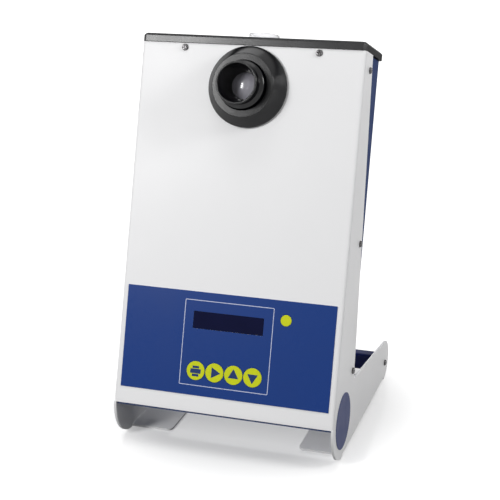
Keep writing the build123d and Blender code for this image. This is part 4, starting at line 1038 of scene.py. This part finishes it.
@dataclass
class BackFittings:
    """Small things on the back: marks of the rocker and contacts of the data port."""

    finishes: Finishes
    contact: float = 0.5 * MM
    contact_tip: float = 0.3 * MM
    contact_length: float = 4.5 * MM
    contact_depth: float = 1.0 * MM
    contact_turns: int = 14
    contact_rows: tuple[tuple[float, int], ...] = ((0.5, 5), (-0.5, 4))
    pitch: float = 2.77 * MM
    row_gap: float = 2.84 * MM
    ink: float = 0.06 * MM
    mark_height: float = 2.6 * MM
    mark_line: float = 0.55 * MM
    mark_place: float = 0.54
    rocker_pivot: tuple[float, float, float] = (12 * MM, 62.75 * MM, 52 * MM)
    rocker_tilt: float = radians(10)
    rocker_reach: float = 4.65 * MM
    rocker_rise: float = 3.25 * MM
    rocker_hollow: float = 1.0 * MM

    def build(self) -> int:
        """Adds the marks and the contacts.

        Returns:
            How many pieces were made.
        """
        self.contacts()
        self.marks()
        return 2

    def marks(self) -> None:
        """The on and off marks of the rocker, a bar and a ring.

        Both lie on the rocker's hollow face, at a share of its half length from the middle. The face is an
        arc of radius r through its two ends and its middle, so at a height h it lies r - sqrt(r * r - h * h)
        outside the middle. The rocker's tilt then turns everything about the pivot.
        """
        radius = (self.rocker_reach ** 2 + self.rocker_hollow ** 2) / (2 * self.rocker_hollow)
        size, line, off = self.mark_height, self.mark_line, self.mark_place * self.rocker_reach
        round_corner = 0.499 * size
        bar = rounded_box(line, size, 0.2 * line, (0.0, off))
        outer = rounded_box(size, size, round_corner, (0.0, -off))
        inner = rounded_box(size - 2 * line, size - 2 * line, round_corner - line, (0.0, -off))
        flat, faces = joined([slab(bar, 0.0, self.ink), ring_band(outer, inner, 0.0, self.ink)])
        across, layer, height = flat.T
        depth = self.rocker_rise - self.rocker_hollow + radius - np.sqrt(radius ** 2 - height ** 2) - layer
        turned = np.column_stack([
            across, depth * cos(self.rocker_tilt) + height * sin(self.rocker_tilt),
            height * cos(self.rocker_tilt) - depth * sin(self.rocker_tilt)])
        vertices = HEAD.place(turned + np.array(self.rocker_pivot))
        piece = make_piece("rocker_marks", vertices, faces, smooth=False)
        self.finishes.new_piece(piece, Look.MARK, "rocker")

    def contacts(self) -> None:
        """Two rows of contacts in the port, each a closed rod: a profile turned about the depth axis."""
        low, high = head_extent("data_port")
        middle = (low + high) / 2
        radius = np.array([0.0, 0.6, 1.0, 1.0, 0.0]) * self.contact
        reach = -np.array([0.0, 0.0, self.contact_tip, self.contact_length, self.contact_length])
        across, along = turned_profile(radius, self.contact_turns)
        depth = high[1] - self.contact_depth + np.repeat(reach[:, None], self.contact_turns, axis=1)
        faces = grid_faces(len(radius), self.contact_turns, True).tolist()
        parts = []
        for row, count in self.contact_rows:
            for number in range(count):
                x = middle[0] + (number - (count - 1) / 2) * self.pitch
                height = middle[2] + row * self.row_gap
                points = np.stack([x + across, depth, height + along], axis=-1).reshape(-1, 3)
                parts.append((points, faces))
        vertices, faces = joined(parts)
        piece = make_piece("port_contacts", HEAD.place(vertices), faces)
        self.finishes.new_piece(piece, Look.BRASS, MAIN_BODY)


# Stage

@dataclass(frozen=True)
class Lamp:
    """A soft lamp: its name, its place, its width and height, and its power in watts."""

    name: str
    place: tuple[float, float, float]
    size: tuple[float, float]
    power: float


@dataclass
class Stage:
    """Floor, light and camera."""

    lamps: tuple[Lamp, ...] = (
        Lamp("key lamp", (-0.62, -1.12, 0.8), (0.25, 0.45), 10.4),
        Lamp("side lamp", (0.9, -0.17, 0.74), (0.3, 0.3), 3.8),
        Lamp("top lamp", (0.0, -0.3, 2.1), (0.9, 0.9), 4.6),
        Lamp("back lamp", (-0.5, 1.5, 1.5), (1.2, 1.2), 5.0),
    )
    lamp_aim: tuple[float, float, float] = (0.0, 0.0, 0.18)
    floor_size: float = 14.0
    floor_roughness: float = 0.12
    floor_sheen: float = 0.22
    eye: tuple[float, float, float] = (0.32348, -1.00782, 0.50567)
    gaze: tuple[float, float, float] = (-0.297253, 0.901569, -0.314346)
    roll: float = radians(-0.4154)
    lens: float = 87.932
    sensor: float = 36.0
    clip: tuple[float, float] = (0.05, 60.0)
    world_level: float = 0.36
    floor_near: float = 0.82
    floor_far: float = 0.3
    floor_bounce: float = 0.08
    lift_near: float = 0.22
    lift_far: float = 0.9
    clearing: tuple[float, float] = (0.1, 0.19)

    def build(self) -> None:
        """Sets up everything round the object."""
        self.floor()
        self.world()
        for lamp in self.lamps:
            self.light(lamp)
        self.camera()
        bpy.context.scene.view_settings.view_transform = "Standard"

    def floor(self) -> None:
        """A pale floor with a soft sheen, which clears to white away from the object.

        Near the object its own colour carries the shadow. With the distance, by a smooth step, that colour
        fades and a glow takes over, which only rays that are seen meet. Diffuse light meets a dark floor
        instead, so the underside of the object stays in the shade.
        """
        half = self.floor_size / 2
        corners = np.array([[-half, -half, 0], [half, -half, 0], [half, half, 0], [-half, half, 0]], float)
        floor = make_piece("floor", corners, [[0, 1, 2, 3]], smooth=False)
        sheet = Sheet("pale floor")
        shader = sheet.add(
            "BsdfPrincipled", Roughness=self.floor_roughness, Specular_IOR_Level=self.floor_sheen,
            Emission_Color=(1.0, 1.0, 1.0, 1.0))
        place = sheet.add("TexCoord")
        reach = sheet.add("VectorMath", operation="LENGTH")
        sheet.link(place.outputs["Object"], reach.inputs[0])
        away = sheet.add(
            "MapRange", From_Min=self.clearing[0], From_Max=self.clearing[1],
            interpolation_type="SMOOTHSTEP")
        sheet.link(reach.outputs["Value"], away.inputs["Value"])
        seen = self.seen_rays(sheet.tree)
        shown = sheet.blend(away.outputs["Result"], (self.floor_near,) * 3, (self.floor_far,) * 3)
        shade = sheet.add("Mix", data_type="RGBA")
        shade.inputs[sheet.mix_first].default_value = (*(self.floor_bounce,) * 3, 1.0)
        sheet.link(seen, shade.inputs[0])
        sheet.link(shown, shade.inputs[sheet.mix_second])
        sheet.link(shade.outputs[sheet.mix_result], shader.inputs["Base Color"])
        lift = sheet.add("MapRange", To_Min=self.lift_near, To_Max=self.lift_far)
        sheet.link(away.outputs["Result"], lift.inputs["Value"])
        glow = sheet.add("Math", operation="MULTIPLY")
        sheet.link(seen, glow.inputs[0])
        sheet.link(lift.outputs["Result"], glow.inputs[1])
        sheet.link(glow.outputs[0], shader.inputs["Emission Strength"])
        sheet.link(shader.outputs["BSDF"], sheet.output.inputs["Surface"])
        floor.data.materials.append(sheet.material)

    def seen_rays(self, tree: bpy.types.NodeTree) -> bpy.types.NodeSocket:
        """Tells the rays that are seen from diffuse light.

        Args:
            tree: the nodes to add to.

        Returns:
            A socket with 1 for rays that the camera, a reflection or a refraction sends, and 0 for others.
        """
        path = tree.nodes.new("ShaderNodeLightPath")
        total = path.outputs["Is Camera Ray"]
        for kind in ("Is Glossy Ray", "Is Transmission Ray"):
            larger = tree.nodes.new("ShaderNodeMath")
            larger.operation = "MAXIMUM"
            tree.links.new(total, larger.inputs[0])
            tree.links.new(path.outputs[kind], larger.inputs[1])
            total = larger.outputs[0]
        return total

    def world(self) -> None:
        """White behind the object, and an even light at a plain level on it."""
        world = bpy.data.worlds.new("studio")
        bpy.context.scene.world = world
        world.use_nodes = True
        tree = world.node_tree
        tree.nodes.clear()
        level = tree.nodes.new("ShaderNodeMapRange")
        level.inputs["To Min"].default_value = self.world_level
        level.inputs["To Max"].default_value = 1.0
        tree.links.new(self.seen_rays(tree), level.inputs["Value"])
        ground = tree.nodes.new("ShaderNodeBackground")
        ground.inputs["Color"].default_value = (1.0, 1.0, 1.0, 1.0)
        tree.links.new(level.outputs["Result"], ground.inputs["Strength"])
        output = tree.nodes.new("ShaderNodeOutputWorld")
        tree.links.new(ground.outputs["Background"], output.inputs["Surface"])

    def light(self, lamp: Lamp) -> None:
        """Puts up a lamp that faces the middle of the object.

        Args:
            lamp: the lamp's values.
        """
        data = bpy.data.lights.new(lamp.name, "AREA")
        data.shape = "RECTANGLE"
        data.size, data.size_y = lamp.size
        data.energy = lamp.power
        light = bpy.data.objects.new(lamp.name, data)
        light.location = lamp.place
        aim = Vector(self.lamp_aim) - Vector(lamp.place)
        light.rotation_euler = aim.to_track_quat("-Z", "Y").to_euler()
        bpy.context.collection.objects.link(light)

    def camera(self) -> None:
        """The camera, with the photograph's place and angle of view."""
        data = bpy.data.cameras.new("camera")
        data.lens = self.lens
        data.sensor_width = self.sensor
        data.clip_start, data.clip_end = self.clip
        camera = bpy.data.objects.new("camera", data)
        camera.location = self.eye
        turn = Vector(self.gaze).to_track_quat("-Z", "Y") @ Quaternion((0.0, 0.0, 1.0), self.roll)
        camera.rotation_euler = turn.to_euler()
        bpy.context.collection.objects.link(camera)
        bpy.context.scene.camera = camera


def main() -> None:
    """Builds the looks in order, and reports each group."""
    logging.basicConfig(level=logging.INFO, format="%(name)s: %(message)s")
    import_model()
    finishes = Finishes()
    LOG.info("CAD nodes dressed: %d", CadDressing(finishes).build())
    LOG.info("screws made: %d", Screws(finishes).build())
    LOG.info("panel prints made: %d", Panel(finishes).build())
    LOG.info("back fittings made: %d", BackFittings(finishes).build())
    Stage().build()


if __name__ == "__main__":
    main()
